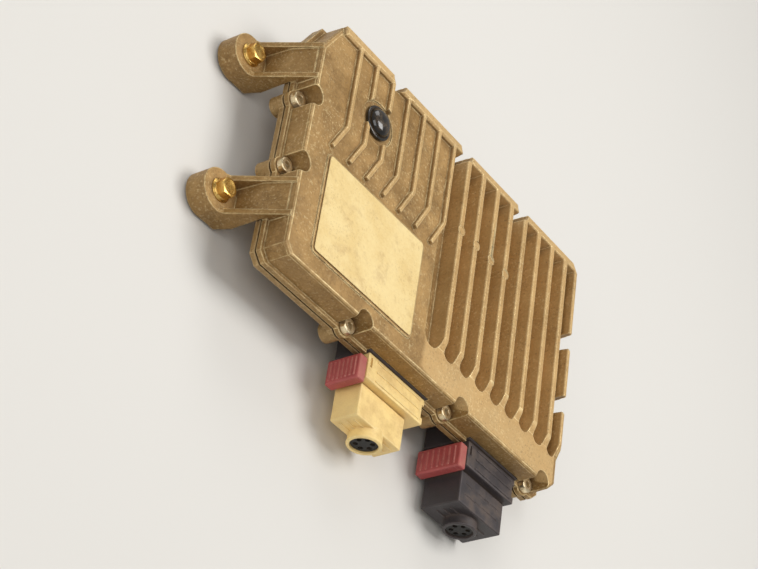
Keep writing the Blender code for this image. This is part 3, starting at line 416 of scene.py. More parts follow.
@dataclass(frozen=True)
class CastFinish:
    """Rough die-cast aluminium, browner low down as painted shade, paler on top as painted light, with
    painted highlights on the rims and on bright worn crests, dust, and dirt with painted shade in corners.
    """

    name: str
    # The lower pair of colours holds painted shade for the faces below the top; the top pair holds painted
    # light.
    low: tuple[Colour, Colour]
    top: tuple[Colour, Colour]
    # Pale colour of grit and of worn edges, which on the crests is also painted highlight.
    crest: Colour
    # Colour of pits, dark grit, and dirt with painted shade in corners.
    dirt_and_shade: Colour
    dust: Colour
    # Colour of the painted highlight on the near strip and the far rim.
    near: Colour
    corner_dirt_and_shade_share: float
    lit_rim_share: float = 0.60
    dust_share: float = 0.45
    speck_share: float = 0.34
    blotch_share: float = 0.30
    crest_share: float = 0.85
    pit_share: float = 0.50
    # Heights over which the painted top light fades in, the wobble of that edge, and the lift that carries it
    # down the fins.
    film: Pair = (0.0470, 0.0497)
    lit_top_wave: float = 0.003
    fin_light_lift: float = 0.0092
    fins_along: tuple[Pair, Pair] = ((-0.012, 0.004), (0.1225, 0.1265))
    fins_across: tuple[Pair, Pair] = ((-0.0595, -0.0555), (0.0945, 0.0975))
    near_rim: Pair = (-0.048, -0.034)
    far_rim: Pair = (0.086, 0.092)
    lit_rim_wave: float = 0.02
    wave_size: float = 0.03
    blotch_size: float = 0.0045
    blotch_edge: Pair = (0.44, 0.70)
    scratch_share: float = 0.22
    metal: float = 0.22
    bright_metal: float = 0.40
    rough: float = 0.46
    film_dullness: float = 0.70
    dull_rough: float = 0.34
    bright_rough: float = 0.14
    tone_rough: float = 0.08
    grit_height: float = 0.35
    relief_depth: float = 0.00022
    relief_strength: float = 0.75

    def build(self) -> Material:
        """Make the material.

        Returns:
            The finished material.
        """
        look = Surface(
            self.name, grain={"Size": 0.0013, "Patch Size": 0.024}, wear={"Radius": 0.0011, "Breaks": 0.007},
            dust={"Reach": 0.007, "Patch Size": 0.026},
            scratches={"Length": 0.022}, specks={"Size": 0.0016})
        mask = look.mask
        x, y, z = look.parts(look.place)
        uneven = look.minus(look.noise(look.place, self.wave_size, 4.0, 0.6), 0.5)
        # The film mask is painted light on the top faces, over the lower colours with their painted shade;
        # among the fins the height is lifted, so the painted light runs down the fins' sides.
        among_fins = look.times(look.window(x, *self.fins_along), look.window(y, *self.fins_across))
        height = look.plus(z, look.times(among_fins, self.fin_light_lift))
        film = look.span(look.plus(height, look.times(uneven, self.lit_top_wave)), *self.film)
        # Painted highlight on the near strip and the far rim, only where the top is lit.
        edge = look.plus(y, look.times(uneven, self.lit_rim_wave))
        rims = look.larger(look.span(edge, *self.near_rim, 1.0, 0.0), look.span(edge, *self.far_rim))
        blotch = look.span(look.noise(look.place, self.blotch_size, 4.0, 0.7), *self.blotch_edge)
        # Worn edges and scratches; on the crests the pale colour doubles as painted highlight.
        bright = look.larger(mask["Edges"], look.times(mask["Scratches"], self.scratch_share))
        colour = look.layered(
            look.mix(film, look.mix(mask["Tone"], *self.low), look.mix(mask["Tone"], *self.top)),
            (look.times(rims, film), self.lit_rim_share, self.near),
            (blotch, self.blotch_share, self.dust),
            (mask["Top"], self.dust_share, self.dust),
            # Dirt and painted shade in corners and hollows.
            (mask["Corners"], self.corner_dirt_and_shade_share, self.dirt_and_shade),
            (mask["Dark"], self.speck_share, self.dirt_and_shade),
            (mask["Pale"], self.speck_share, self.crest),
            (bright, self.crest_share, self.crest),
            (mask["Pits"], self.pit_share, self.dirt_and_shade))
        dull = look.larger(look.times(mask["Top"], self.film_dullness), mask["Corners"])
        metal = look.times(look.minus(1.0, dull, clamp=True), self.metal)
        metal = look.plus(metal, look.times(bright, self.bright_metal), clamp=True)
        rough = look.minus(
            look.plus(self.rough, look.times(dull, self.dull_rough)), look.times(bright, self.bright_rough))
        rough = look.plus(rough, look.times(mask["Tone"], self.tone_rough), clamp=True)
        height = look.plus(mask["Height"], look.times(mask["Pale"], self.grit_height))
        relief = look.relief(self.relief_depth, self.relief_strength, height)
        return look.shade(Base_Color=colour, Metallic=metal, Roughness=rough, Normal=relief)


@dataclass(frozen=True)
class MouldedFinish:
    """Glass-filled nylon with a fine grain, dust and rubbed edges."""

    name: str
    body: Colour
    worn: Colour
    dust: Colour
    rough: float = 0.44
    dust_share: float = 0.45
    worn_share: float = 0.60
    scratch_share: float = 0.50
    paler_factor: float = 1.12
    paler_step: int = 4
    dust_rough: float = 0.30
    relief_depth: float = 0.00008
    relief_strength: float = 0.60

    def build(self) -> Material:
        """Make the material.

        Returns:
            The finished material.
        """
        look = Surface(
            self.name, grain={"Size": 0.0006, "Patch Size": 0.012}, wear={"Radius": 0.0005, "Breaks": 0.004},
            dust={"Reach": 0.004, "Patch Size": 0.014}, scratches={"Length": 0.012})
        mask = look.mask
        paler = tuple(min(255, round(part * self.paler_factor + self.paler_step)) for part in self.body)
        # Dust lies on top and in corners; as the corner part follows occlusion, on the cream body it darkens
        # hollows as painted shade as well as dust.
        dusty = look.larger(mask["Top"], mask["Corners"])
        colour = look.layered(
            look.mix(mask["Tone"], self.body, paler),
            (dusty, self.dust_share, self.dust),
            (look.larger(mask["Edges"], look.times(mask["Scratches"], self.scratch_share)),
             self.worn_share, self.worn))
        rough = look.plus(self.rough, look.times(dusty, self.dust_rough), clamp=True)
        relief = look.relief(self.relief_depth, self.relief_strength)
        return look.shade(Base_Color=colour, Roughness=rough, Normal=relief)


@dataclass(frozen=True)
class PlatedFinish:
    """Plated or turned metal with worn edges, and stains with painted shade in its hollows."""

    name: str
    body: Colour
    bright: Colour
    stain_and_shade: Colour
    rough: float = 0.28
    stain_share: float = 0.70
    edge_share: float = 0.70
    stain_dullness: float = 0.80
    stain_rough: float = 0.45
    tone_rough: float = 0.12
    relief_depth: float = 0.00004
    relief_strength: float = 0.50

    def build(self) -> Material:
        """Make the material.

        Returns:
            The finished material.
        """
        look = Surface(
            self.name, grain={"Size": 0.0005, "Patch Size": 0.005}, wear={"Radius": 0.00035, "Breaks": 0.003},
            dust={"Reach": 0.0025, "Patch Size": 0.006})
        mask = look.mask
        # Hollows take stain together with painted shade.
        stained = look.times(mask["Corners"], self.stain_share)
        colour = look.layered(
            look.mix(mask["Tone"], self.body, self.bright),
            (mask["Corners"], self.stain_share, self.stain_and_shade),
            (mask["Edges"], self.edge_share, self.bright))
        metal = look.minus(1.0, look.times(stained, self.stain_dullness), clamp=True)
        rough = look.plus(self.rough, look.times(stained, self.stain_rough))
        rough = look.plus(rough, look.times(mask["Tone"], self.tone_rough), clamp=True)
        relief = look.relief(self.relief_depth, self.relief_strength)
        return look.shade(Base_Color=colour, Metallic=metal, Roughness=rough, Normal=relief)


@dataclass(frozen=True)
class FoilFinish:
    """Blank foil, yellowed, and soiled and darkened by painted shade towards its rim."""

    name: str
    body: Colour
    aged: Colour
    soil_and_shade: Colour
    smear_size: float = 0.011
    smear_edge: Pair = (0.50, 0.74)
    smear_share: float = 0.35
    corner_soil_and_shade_share: float = 0.60
    speck_share: float = 0.30
    edge_share: float = 0.55
    scratch_share: float = 0.35
    rough: float = 0.36
    smear_rough: float = 0.30
    relief_depth: float = 0.00009
    relief_strength: float = 0.50

    def build(self) -> Material:
        """Make the material.

        Returns:
            The finished material.
        """
        look = Surface(
            self.name, grain={"Size": 0.0016, "Patch Size": 0.018}, wear={"Radius": 0.0006, "Breaks": 0.004},
            dust={"Reach": 0.004, "Patch Size": 0.016},
            scratches={"Length": 0.016}, specks={"Size": 0.0014})
        mask = look.mask
        smear = look.span(look.noise(look.place, self.smear_size, 6.0, 0.66), *self.smear_edge)
        # Smears, grit and rubbed edges are soil; the corners by the rim take soil and painted shade.
        colour = look.layered(
            look.mix(mask["Tone"], self.body, self.aged),
            (smear, self.smear_share, self.soil_and_shade),
            (mask["Corners"], self.corner_soil_and_shade_share, self.soil_and_shade),
            (mask["Dark"], self.speck_share, self.soil_and_shade),
            (look.larger(mask["Edges"], look.times(mask["Scratches"], self.scratch_share)),
             self.edge_share, self.soil_and_shade))
        rough = look.plus(self.rough, look.times(smear, self.smear_rough), clamp=True)
        relief = look.relief(self.relief_depth, self.relief_strength)
        return look.shade(Base_Color=colour, Roughness=rough, Normal=relief)


@dataclass(frozen=True)
class GlossFinish:
    """Polished black moulding with a thin film of dust."""

    name: str
    body: Colour
    dust: Colour
    film_share: float = 0.22
    rough: float = 0.10
    film_rough: float = 0.90
    coat: float = 0.60
    coat_rough: float = 0.06
    relief_depth: float = 0.00002
    relief_strength: float = 0.40

    def build(self) -> Material:
        """Make the material.

        Returns:
            The finished material.
        """
        look = Surface(
            self.name, grain={"Size": 0.0008, "Patch Size": 0.006},
            dust={"Reach": 0.003, "Patch Size": 0.005})
        film = look.times(look.larger(look.mask["Top"], look.mask["Corners"]), self.film_share)
        colour = look.mix(film, self.body, self.dust)
        rough = look.plus(self.rough, look.times(film, self.film_rough), clamp=True)
        relief = look.relief(self.relief_depth, self.relief_strength)
        return look.shade(
            Base_Color=colour, Roughness=rough, Normal=relief, Coat_Weight=self.coat,
            Coat_Roughness=self.coat_rough)


@dataclass(frozen=True)
class RubberFinish:
    """Matt black rubber, grey with dust."""

    name: str
    body: Colour
    dust: Colour
    dust_share: float = 0.40
    rough: float = 0.62
    dust_rough: float = 0.25
    relief_depth: float = 0.00006
    relief_strength: float = 0.60

    def build(self) -> Material:
        """Make the material.

        Returns:
            The finished material.
        """
        look = Surface(
            self.name, grain={"Size": 0.0007, "Patch Size": 0.008},
            dust={"Reach": 0.002, "Patch Size": 0.007})
        dusty = look.larger(look.mask["Top"], look.mask["Corners"])
        colour = look.layered(self.body, (dusty, self.dust_share, self.dust))
        rough = look.plus(self.rough, look.times(dusty, self.dust_rough), clamp=True)
        relief = look.relief(self.relief_depth, self.relief_strength)
        return look.shade(Base_Color=colour, Roughness=rough, Normal=relief)


@dataclass(frozen=True)
class FloorFinish:
    """Plain pale studio paper."""

    name: str
    body: Colour
    darker_step: int = 4
    patch_size: float = 0.5
    rough: float = 0.85

    def build(self) -> Material:
        """Make the material.

        Returns:
            The finished material.
        """
        look = Surface(self.name)
        darker = tuple(part - self.darker_step for part in self.body)
        colour = look.mix(look.noise(look.place, self.patch_size, 2.0), self.body, darker)
        return look.shade(Base_Color=colour, Roughness=self.rough)


finishes = {
    # Both castings darken their lower faces and corners with painted shade; the cover also carries painted
    # light on its top, rims and crests.
    Slot.COVER: CastFinish(
        "dusty_cast_cover", low=((130, 98, 51), (166, 130, 75)), top=((178, 141, 87), (208, 171, 113)),
        crest=(252, 228, 172), dirt_and_shade=(96, 66, 34), dust=(196, 156, 97), near=(206, 173, 119), corner_dirt_and_shade_share=0.55),
    Slot.BASE: CastFinish(
        "dusty_cast_base", low=((136, 106, 60), (168, 136, 84)), top=((148, 118, 70), (178, 146, 92)),
        crest=(228, 200, 150), dirt_and_shade=(86, 62, 38), dust=(172, 138, 92), near=(180, 146, 98), corner_dirt_and_shade_share=0.75),
    Slot.LABEL: FoilFinish("blank_foil", body=(244, 220, 160), aged=(232, 202, 136), soil_and_shade=(164, 124, 72)),
    Slot.VENT: GlossFinish("gloss_black", body=(16, 15, 15), dust=(150, 122, 86)),
    Slot.SEAL: RubberFinish("black_rubber", body=(30, 29, 28), dust=(112, 92, 68)),
    Slot.SCREWS: PlatedFinish(
        "plated_screws", body=(206, 184, 140), bright=(252, 238, 204), stain_and_shade=(104, 74, 42)),
    Slot.SLEEVES: PlatedFinish(
        "turned_sleeves", body=(196, 180, 150), bright=(242, 230, 204), stain_and_shade=(112, 84, 54)),
    Slot.BOLTS: PlatedFinish(
        "yellow_zinc", body=(190, 141, 62), bright=(244, 206, 122), stain_and_shade=(112, 70, 28), rough=0.22),
    Slot.BLACK: MouldedFinish(
        "black_nylon", body=(50, 45, 46), worn=(130, 118, 116), dust=(116, 98, 84), rough=0.46),
    Slot.CREAM: MouldedFinish(
        "cream_nylon", body=(231, 197, 130), worn=(252, 234, 184), dust=(168, 124, 66), dust_share=0.36),
    Slot.LOCK: MouldedFinish(
        "maroon_moulding", body=(160, 71, 70), worn=(224, 162, 146), dust=(176, 126, 104), dust_share=0.42)}
palette = {slot: finish.build() for slot, finish in finishes.items()}


# Mesh helpers
def add_object(name: str, data: bpy.types.ID) -> Piece:
    """Put a mesh, lamp or camera into the scene at the origin.

    Args:
        name: The object's name.
        data: What it shows.

    Returns:
        The new object.
    """
    piece = bpy.data.objects.new(name, data)
    bpy.context.scene.collection.objects.link(piece)
    return piece


def from_bmesh(shape: bmesh.types.BMesh, name: str) -> Piece:
    """Turn a bmesh into an object and free it.

    Args:
        shape: The bmesh.
        name: The object's name.

    Returns:
        The new object.
    """
    mesh = bpy.data.meshes.new(name)
    shape.to_mesh(mesh)
    shape.free()
    return add_object(name, mesh)


def flattened(piece: Piece) -> Piece:
    """Replace a piece's modifiers by their result.

    Args:
        piece: The piece with its modifiers.

    Returns:
        The same piece with a plain mesh.
    """
    graph = bpy.context.evaluated_depsgraph_get()
    graph.update()
    mesh = bpy.data.meshes.new_from_object(
        piece.evaluated_get(graph), preserve_all_data_layers=True, depsgraph=graph)
    piece.modifiers.clear()
    piece.data = mesh
    mesh.name = piece.name
    return piece


def smooth(piece: Piece, angle: float) -> Piece:
    """Shade a piece smooth, with sharp edges above an angle.

    Args:
        piece: The piece.
        angle: The angle, in radians.

    Returns:
        The same piece.
    """
    piece.data.shade_smooth()
    piece.data.set_sharp_from_angle(angle=angle)
    return piece


def clean_copy(node: str, join_flats: bool = True) -> Piece:
    """Copy a CAD node as one closed mesh.

    Args:
        node: The node's name.
        join_flats: Whether triangles of one flat face become one face.

    Returns:
        The new piece, which lies where the node is.
    """
    shape = bmesh.new()
    shape.from_mesh(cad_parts[node].data)
    bmesh.ops.remove_doubles(shape, verts=shape.verts, dist=MERGE_DISTANCE)
    bmesh.ops.dissolve_degenerate(shape, dist=SPECK, edges=shape.edges)
    if join_flats:
        bmesh.ops.dissolve_limit(shape, angle_limit=FLAT_ANGLE, verts=shape.verts, edges=shape.edges)
    return from_bmesh(shape, node + "_look")


def carve(piece: Piece, low: Vector, high: Vector) -> None:
    """Cut a box out of a piece.

    Args:
        piece: The piece.
        low: The box's lowest corner.
        high: The box's highest corner.
    """
    shape = bmesh.new()
    bmesh.ops.create_cube(shape, size=1.0)
    bmesh.ops.scale(shape, vec=high - low, verts=shape.verts)
    bmesh.ops.translate(shape, vec=(low + high) / 2, verts=shape.verts)
    tool = from_bmesh(shape, piece.name + "_tool")
    cut = piece.modifiers.new("cut", "BOOLEAN")
    cut.operation = "DIFFERENCE"
    cut.solver = "EXACT"
    cut.object = tool
    flattened(piece)
    bpy.data.objects.remove(tool)


def rounded(piece: Piece, width: float, segments: int = 2) -> Piece:
    """Round the sharp edges of a piece, with flat faces that stay flat in the light.

    Args:
        piece: The piece.
        width: Width of the rounding, in metres.
        segments: Steps across the rounding.

    Returns:
        The same piece.
    """
    rounding = piece.modifiers.new("rounding", "BEVEL")
    rounding.width = width
    rounding.segments = segments
    rounding.limit_method = "ANGLE"
    rounding.angle_limit = SHARP_ANGLE
    rounding.use_clamp_overlap = True
    rounding.miter_outer = "MITER_ARC"
    smooth(flattened(piece), ROUNDED_ANGLE)
    piece.modifiers.new("weights", "WEIGHTED_NORMAL").keep_sharp = True
    return flattened(piece)


def turned(name: str, centre: Vector, profile: Sequence[Pair], steps: int = 64) -> Piece:
    """Spin a profile round an upright axis into a closed solid.

    Args:
        name: The piece's name.
        centre: A point on the axis.
        profile: Radius and height of each point, from the bottom's middle to the top's.
        steps: Steps round the circle.

    Returns:
        The new piece.
    """
    shape = bmesh.new()
    points = [shape.verts.new((radius, 0.0, height)) for radius, height in profile]
    edges = [shape.edges.new(ends) for ends in zip(points, points[1:])]
    bmesh.ops.spin(
        shape, geom=points + edges, cent=(0.0, 0.0, 0.0), axis=(0.0, 0.0, 1.0), angle=2 * math.pi,
        steps=steps)
    bmesh.ops.remove_doubles(shape, verts=shape.verts, dist=SPECK)
    bmesh.ops.recalc_face_normals(shape, faces=shape.faces)
    bmesh.ops.translate(shape, vec=centre, verts=shape.verts)
    return smooth(from_bmesh(shape, name), SHARP_ANGLE)


def grown(name: str, places: Sequence[Vector], tree: Tree, **values: object) -> Piece:
    """Run a geometry node tree on loose points and keep the result as a plain mesh.

    Args:
        name: The piece's name.
        places: The points.
        tree: The tree.
        values: Its named inputs, with _ for a space in the name.

    Returns:
        The new piece, with no modifier left.
    """
    mesh = bpy.data.meshes.new(name)
    mesh.from_pydata([tuple(place) for place in places], [], [])
    piece = add_object(name, mesh)
    modifier = piece.modifiers.new("nodes", "NODES")
    modifier.node_group = tree
    for item in tree.interface.items_tree:
        key = item.name.replace(" ", "_")
        if item.in_out == "INPUT" and key in values:
            modifier[item.identifier] = values[key]
    return smooth(flattened(piece), GROWN_ANGLE)


def dress(piece: Piece, slot: Slot, body: Body, *nodes: str) -> None:
    """Give a piece its finish and its body, and hide the nodes that it stands for.

    Args:
        piece: The piece, in place.
        slot: The record's material slot.
        body: The body that it rides on.
        nodes: CAD nodes that it replaces.
    """
    piece.data.materials.clear()
    piece.data.materials.append(palette[slot])
    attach(piece, body.value)
    if nodes:
        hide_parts(*nodes)
    log.info("%s: %d faces, rides on %s", piece.name, len(piece.data.polygons), body.value)


def add_copy(node: str, rounding: float, slot: Slot, body: Body, join_flats: bool = True) -> None:
    """Round and dress a copy of a CAD node."""
    dress(rounded(clean_copy(node, join_flats), rounding), slot, body, node)


def named_nodes(prefix: str) -> list[str]:
    """Names of the CAD nodes that start with a prefix, in order."""
    return sorted(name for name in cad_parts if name.startswith(prefix))


# Geometry node trees
class PieceTree(Group):
    """Geometry tree that puts one small solid on every point."""

    def __init__(self, name: str, **sizes: object) -> None:
        """Start the tree with points, a turn, a seed, a material and its own sizes."""
        super().__init__(
            name, "GeometryNodeTree", Points="NodeSocketGeometry", Turn="NodeSocketVector", Seed=7,
            Material="NodeSocketMaterial", **sizes)

    def cylinder(self, radius: object, height: object, base: object, corners: int, rings: int = 1
                 ) -> Socket:
        """Add an upright cylinder.

        Args:
            radius: Its radius.
            height: Its height.
            base: Height of its lower end.
            corners: Corners round it.
            rings: Steps along it.

        Returns:
            The mesh's socket.
        """
        sizes = {"Vertices": corners, "Side Segments": rings, "Radius": radius, "Depth": height}
        body = self.add("GeometryNodeMeshCylinder", sizes, fill_type="NGON").outputs["Mesh"]
        middle = self.vector(z=self.plus(base, self.times(height, 0.5)))
        return self.add("GeometryNodeTransform", {"Geometry": body, "Translation": middle}).outputs[0]

    def shank(self) -> Socket:
        """Add a fastener's shank below its head."""
        radius, length = self.times(self.size["Shank Diameter"], 0.5), self.size["Shank Length"]
        return self.cylinder(radius, length, self.times(length, -1.0), SHANK_CORNERS)

    def block(self, size: Socket) -> Socket:
        """Add a block about its own middle."""
        return self.add("GeometryNodeMeshCube", {"Size": size}).outputs["Mesh"]

    def less(self, shape: Socket, tool: Socket) -> Socket:
        """Cut a tool out of a shape."""
        shapes = {"Mesh 1": shape, "Mesh 2": tool}
        return self.add("GeometryNodeMeshBoolean", shapes, operation="DIFFERENCE", solver="EXACT").outputs[0]

    def gathered(self, kind: str, socket: object, shapes: Sequence[Socket], **settings: str) -> Socket:
        """Feed several shapes to one socket of a new node.

        Args:
            kind: The node's type name.
            socket: The input's name or number.
            shapes: Sockets of the shapes.
            settings: Values for the node's own properties.

        Returns:
            The result's socket.
        """
        node = self.add(kind, **settings)
        for shape in shapes:
            self.feed(node.inputs[socket], shape)
        return node.outputs[0]

    def joined(self, *shapes: Socket) -> Socket:
        """Put shapes together."""
        return self.gathered("GeometryNodeJoinGeometry", 0, shapes)

    def common(self, *shapes: Socket) -> Socket:
        """Keep what shapes share."""
        return self.gathered(
            "GeometryNodeMeshBoolean", "Mesh 2", shapes, operation="INTERSECT", solver="EXACT")

    def reshaped(self, shape: Socket, factor: Callable[[Socket, Socket, Socket], Socket],
                 keep_x: bool = False) -> Socket:
        """Scale a shape about its upright axis by a factor of each point's place.

        Args:
            shape: The shape.
            factor: Gives the factor's socket from the sockets of x, y and z.
            keep_x: Whether only y is scaled.

        Returns:
            The changed shape's socket.
        """
        x, y, z = self.parts(self.add("GeometryNodeInputPosition").outputs[0])
        share = factor(x, y, z)
        place = self.vector(x if keep_x else self.times(x, share), self.times(y, share), z)
        return self.add("GeometryNodeSetPosition", {"Geometry": shape, "Position": place}).outputs[0]

    def tapered(self, shape: Socket, crest: object) -> Socket:
        """Make the upper side of a shape about its own middle narrower, to a share of its width."""
        lost = self.minus(1.0, crest)
        return self.reshaped(shape, lambda x, y, z: self.minus(
            1.0, self.times(self.math("GREATER_THAN", z, 0.0), lost)), keep_x=True)

    def finish(self, shape: Socket, random_turn: bool = False) -> Tree:
        """Put the solid on each point, as real faces with the material.

        Args:
            shape: Socket of the solid.
            random_turn: Whether each one has its own turn about its axis, not the tree's Turn.

        Returns:
            The finished tree.
        """
        turn = self.size["Turn"]
        if random_turn:
            angles = {2: 0.0, 3: 2 * math.pi, 8: self.size["Seed"]}
            turn = self.vector(z=self.add("FunctionNodeRandomValue", angles, data_type="FLOAT").outputs[1])
        placing = {"Points": self.size["Points"], "Instance": shape, "Rotation": turn}
        placed = self.add("GeometryNodeInstanceOnPoints", placing).outputs[0]
        real = self.add("GeometryNodeRealizeInstances", {0: placed}).outputs[0]
        finish = {"Geometry": real, "Material": self.size["Material"]}
        return self.closed(Geometry=self.add("GeometryNodeSetMaterial", finish).outputs[0])


def cap_screw_tree() -> Tree:
    """Tree of socket-head screws with a knurled head, a hexagon recess and a shank.

    Returns:
        The finished tree.
    """
    tree = PieceTree(
        "cap_screws", Head_Diameter=0.009, Head_Height=0.0036, Chamfer=0.0004, Knurl_Depth=0.00016,
        Recess_Width=0.004, Recess_Depth=0.002, Shank_Diameter=0.0046, Shank_Length=0.009)
    knurls, head_rings, chamfer_from_share = 20, 8, 0.86
    knurl_start_shares, knurl_end_shares = (0.08, 0.14), (0.70, 0.78)
    size = tree.size
    radius = tree.times(size["Head Diameter"], 0.5)

    def shrink(x: Socket, y: Socket, z: Socket) -> Socket:
        """Work out the factor of the chamfer at the top and of the knurls on the side.

        Args:
            x: Socket of a point's x.
            y: Socket of its y.
            z: Socket of its height.

        Returns:
            The factor's socket.
        """
        share = tree.over(z, size["Head Height"])
        chamfer = tree.times(tree.span(share, chamfer_from_share, 1.0), tree.over(size["Chamfer"], radius))
        wave = tree.math("COSINE", tree.times(tree.math("ARCTAN2", y, x), float(knurls)))
        side = tree.window(share, knurl_start_shares, knurl_end_shares)
        deep = tree.times(tree.over(size["Knurl Depth"], radius), side)
        valley = tree.times(tree.span(wave, -0.5, 0.5, 1.0, 0.0), deep)
        return tree.minus(tree.minus(1.0, chamfer), valley)

    head = tree.reshaped(tree.cylinder(radius, size["Head Height"], 0.0, knurls * 2, head_rings), shrink)
    corner = tree.times(size["Recess Width"], 1 / math.sqrt(3))
    low = tree.minus(size["Head Height"], size["Recess Depth"])
    head = tree.less(head, tree.cylinder(corner, tree.times(size["Recess Depth"], 2.0), low, HEXAGON))
    return tree.finish(tree.joined(head, tree.shank()), random_turn=True)


def flange_bolt_tree() -> Tree:
    """Tree of hexagon bolts with a sloping flange, chamfered corners and a shallow top recess.

    Returns:
        The finished tree.
    """
    tree = PieceTree(
        "flange_bolts", Flange_Diameter=0.0135, Flange_Thickness=0.0016, Across_Flats=0.010,
        Head_Height=0.0065, Shank_Diameter=0.006, Shank_Length=0.02)
    slope_from_share, slope_end_share, crown_share, dish_share = 0.35, 0.83, 0.48, 0.36
    dish_depth, tool_height = 0.0003, 0.001
    round_steps, flange_rings, dish_steps = 48, 5, 32
    radius = tree.times(tree.size["Flange Diameter"], 0.5)
    flats, top, thick = (tree.size[name] for name in ("Across Flats", "Head Height", "Flange Thickness"))
    flange = tree.reshaped(
        tree.cylinder(radius, thick, 0.0, round_steps, flange_rings),
        lambda x, y, z: tree.span(tree.over(z, thick), slope_from_share, 1.0, 1.0, slope_end_share))
    base = tree.times(thick, 0.5)
    prism = tree.cylinder(tree.times(flats, 1 / math.sqrt(3)), tree.minus(top, base), base, HEXAGON)
    narrow = tree.times(flats, crown_share)
    wide = tree.plus(narrow, tree.times(top, math.sqrt(3)))
    cone = {"Vertices": round_steps, "Radius Top": narrow, "Radius Bottom": wide, "Depth": top}
    head = tree.common(prism, tree.add("GeometryNodeMeshCone", cone, fill_type="NGON").outputs["Mesh"])
    dish = tree.cylinder(
        tree.times(flats, dish_share), tool_height, tree.minus(top, dish_depth), dish_steps)
    return tree.finish(tree.joined(flange, tree.less(head, dish), tree.shank()), random_turn=True)


def rib_row_tree() -> Tree:
    """Tree of a row of equal ribs with a narrower crest, one on each point.

    Returns:
        The finished tree.
    """
    tree = PieceTree("rib_row", Size=(0.02, 0.001, 0.0008), Crest_Share=0.6)
    return tree.finish(tree.tapered(tree.block(tree.size["Size"]), tree.size["Crest Share"]))


def snap_latch_tree() -> Tree:
    """Tree of snap latches: a raised frame with a sloping hook in its window, one on each point.

    Returns:
        The finished tree.
    """
    tree = PieceTree("snap_latches", Width=0.009, Height=0.006, Rise=0.0009, Rim=0.0011)
    hook_shares, hook_crest_share, crest_share, tool_depth = (0.5, 0.34, 1.7), 0.45, 0.86, 0.01
    sizes = [tree.size[name] for name in ("Width", "Height", "Rise")]
    width, height, rise = sizes
    rims = tree.times(tree.size["Rim"], 2.0)
    outer = tree.block(tree.vector(width, height, tree.times(rise, 2.0)))
    window = tree.block(tree.vector(tree.minus(width, rims), tree.minus(height, rims), tool_depth))
    hook = tree.block(tree.vector(*(tree.times(size, share) for size, share in zip(sizes, hook_shares))))
    surround = tree.less(tree.tapered(outer, crest_share), window)
    return tree.finish(tree.joined(surround, tree.tapered(hook, hook_crest_share)))


def bead_tree() -> Tree:
    """Tree of round beads, each a circle with a round section, one on each point.

    Returns:
        The finished tree.
    """
    tree = PieceTree("beads", Ring_Radius=0.009, Bead_Radius=0.0008)
    ring, section = (
        tree.add("GeometryNodeCurvePrimitiveCircle", {"Resolution": steps, "Radius": tree.size[name]})
        for name, steps in (("Ring Radius", 64), ("Bead Radius", 12)))
    curves = {"Curve": ring.outputs["Curve"], "Profile Curve": section.outputs["Curve"]}
    return tree.finish(tree.add("GeometryNodeCurveToMesh", curves).outputs[0])


cap_screws, flange_bolts = cap_screw_tree(), flange_bolt_tree()
rib_row, snap_latches, beads = rib_row_tree(), snap_latch_tree(), bead_tree()


# Sub-assemblies
@dataclass
class Castings:
    """The finned cover and the tray under it, with the gasket between them."""

    cover_rounding: float = 0.0004
    tray_rounding: float = 0.0005

    def build(self) -> None:
        """Round and dress both castings, and give the gasket its finish."""
        add_copy("finned_cover", self.cover_rounding, Slot.COVER, Body.UNIT)
        add_copy("base_tray", self.tray_rounding, Slot.BASE, Body.UNIT)
        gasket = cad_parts["cover_gasket"]
        gasket.data.materials.clear()
        gasket.data.materials.append(palette[Slot.SEAL])
        log.info("cover_gasket keeps its CAD shape")


@dataclass
class Plate:
    """The blank foil plate."""

    rounding: float = 0.00015

    def build(self) -> None:
        """Round and dress the plate."""
        add_copy("label_plate", self.rounding, Slot.LABEL, Body.UNIT)


@dataclass
class Vent:
    """The glossy pressure vent in its round seat."""

    height: float = 0.0058
    rim_height: float = 0.0018
    rim_rounding: float = 0.0006
    foot_chamfer: float = 0.0003
    groove_width: float = 0.0007
    groove_bottom: float = 0.0002
    groove_depth: float = 0.0005
    dome_share: float = 0.80
    dome_side_power: float = 0.8
    dome_top_power: float = 0.9
    rim_steps: int = 6
    dome_steps: int = 16

    def build(self) -> None:
        """Turn the vent's profile and dress it."""
        low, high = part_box("vent_cap")
        radius = (high.x - low.x) / 2
        centre = Vector(((low.x + high.x) / 2, (low.y + high.y) / 2, 0.0))
        dome = radius * self.dome_share
        seat = high.z - self.height
        rim = seat + self.rim_height
        inner, shoulder = radius - self.rim_rounding, rim - self.rim_rounding
        profile = [
            (0.0, seat), (radius - self.foot_chamfer, seat), (radius, seat + self.foot_chamfer),
            (radius, shoulder)]
        for step in range(1, self.rim_steps + 1):
            angle = step / self.rim_steps * math.pi / 2
            profile.append((
                inner + self.rim_rounding * math.cos(angle), shoulder + self.rim_rounding * math.sin(angle)))
        base = rim - self.groove_depth
        profile += [(dome + self.groove_width, rim), (dome + self.groove_bottom, base)]
        for step in range(1, self.dome_steps + 1):
            angle = step / self.dome_steps * math.pi / 2
            profile.append((
                dome * math.cos(angle) ** self.dome_side_power if step < self.dome_steps else 0.0,
                base + (high.z - base) * math.sin(angle) ** self.dome_top_power))
        dress(turned("vent_dome", centre, profile), Slot.VENT, Body.UNIT, "vent_cap")


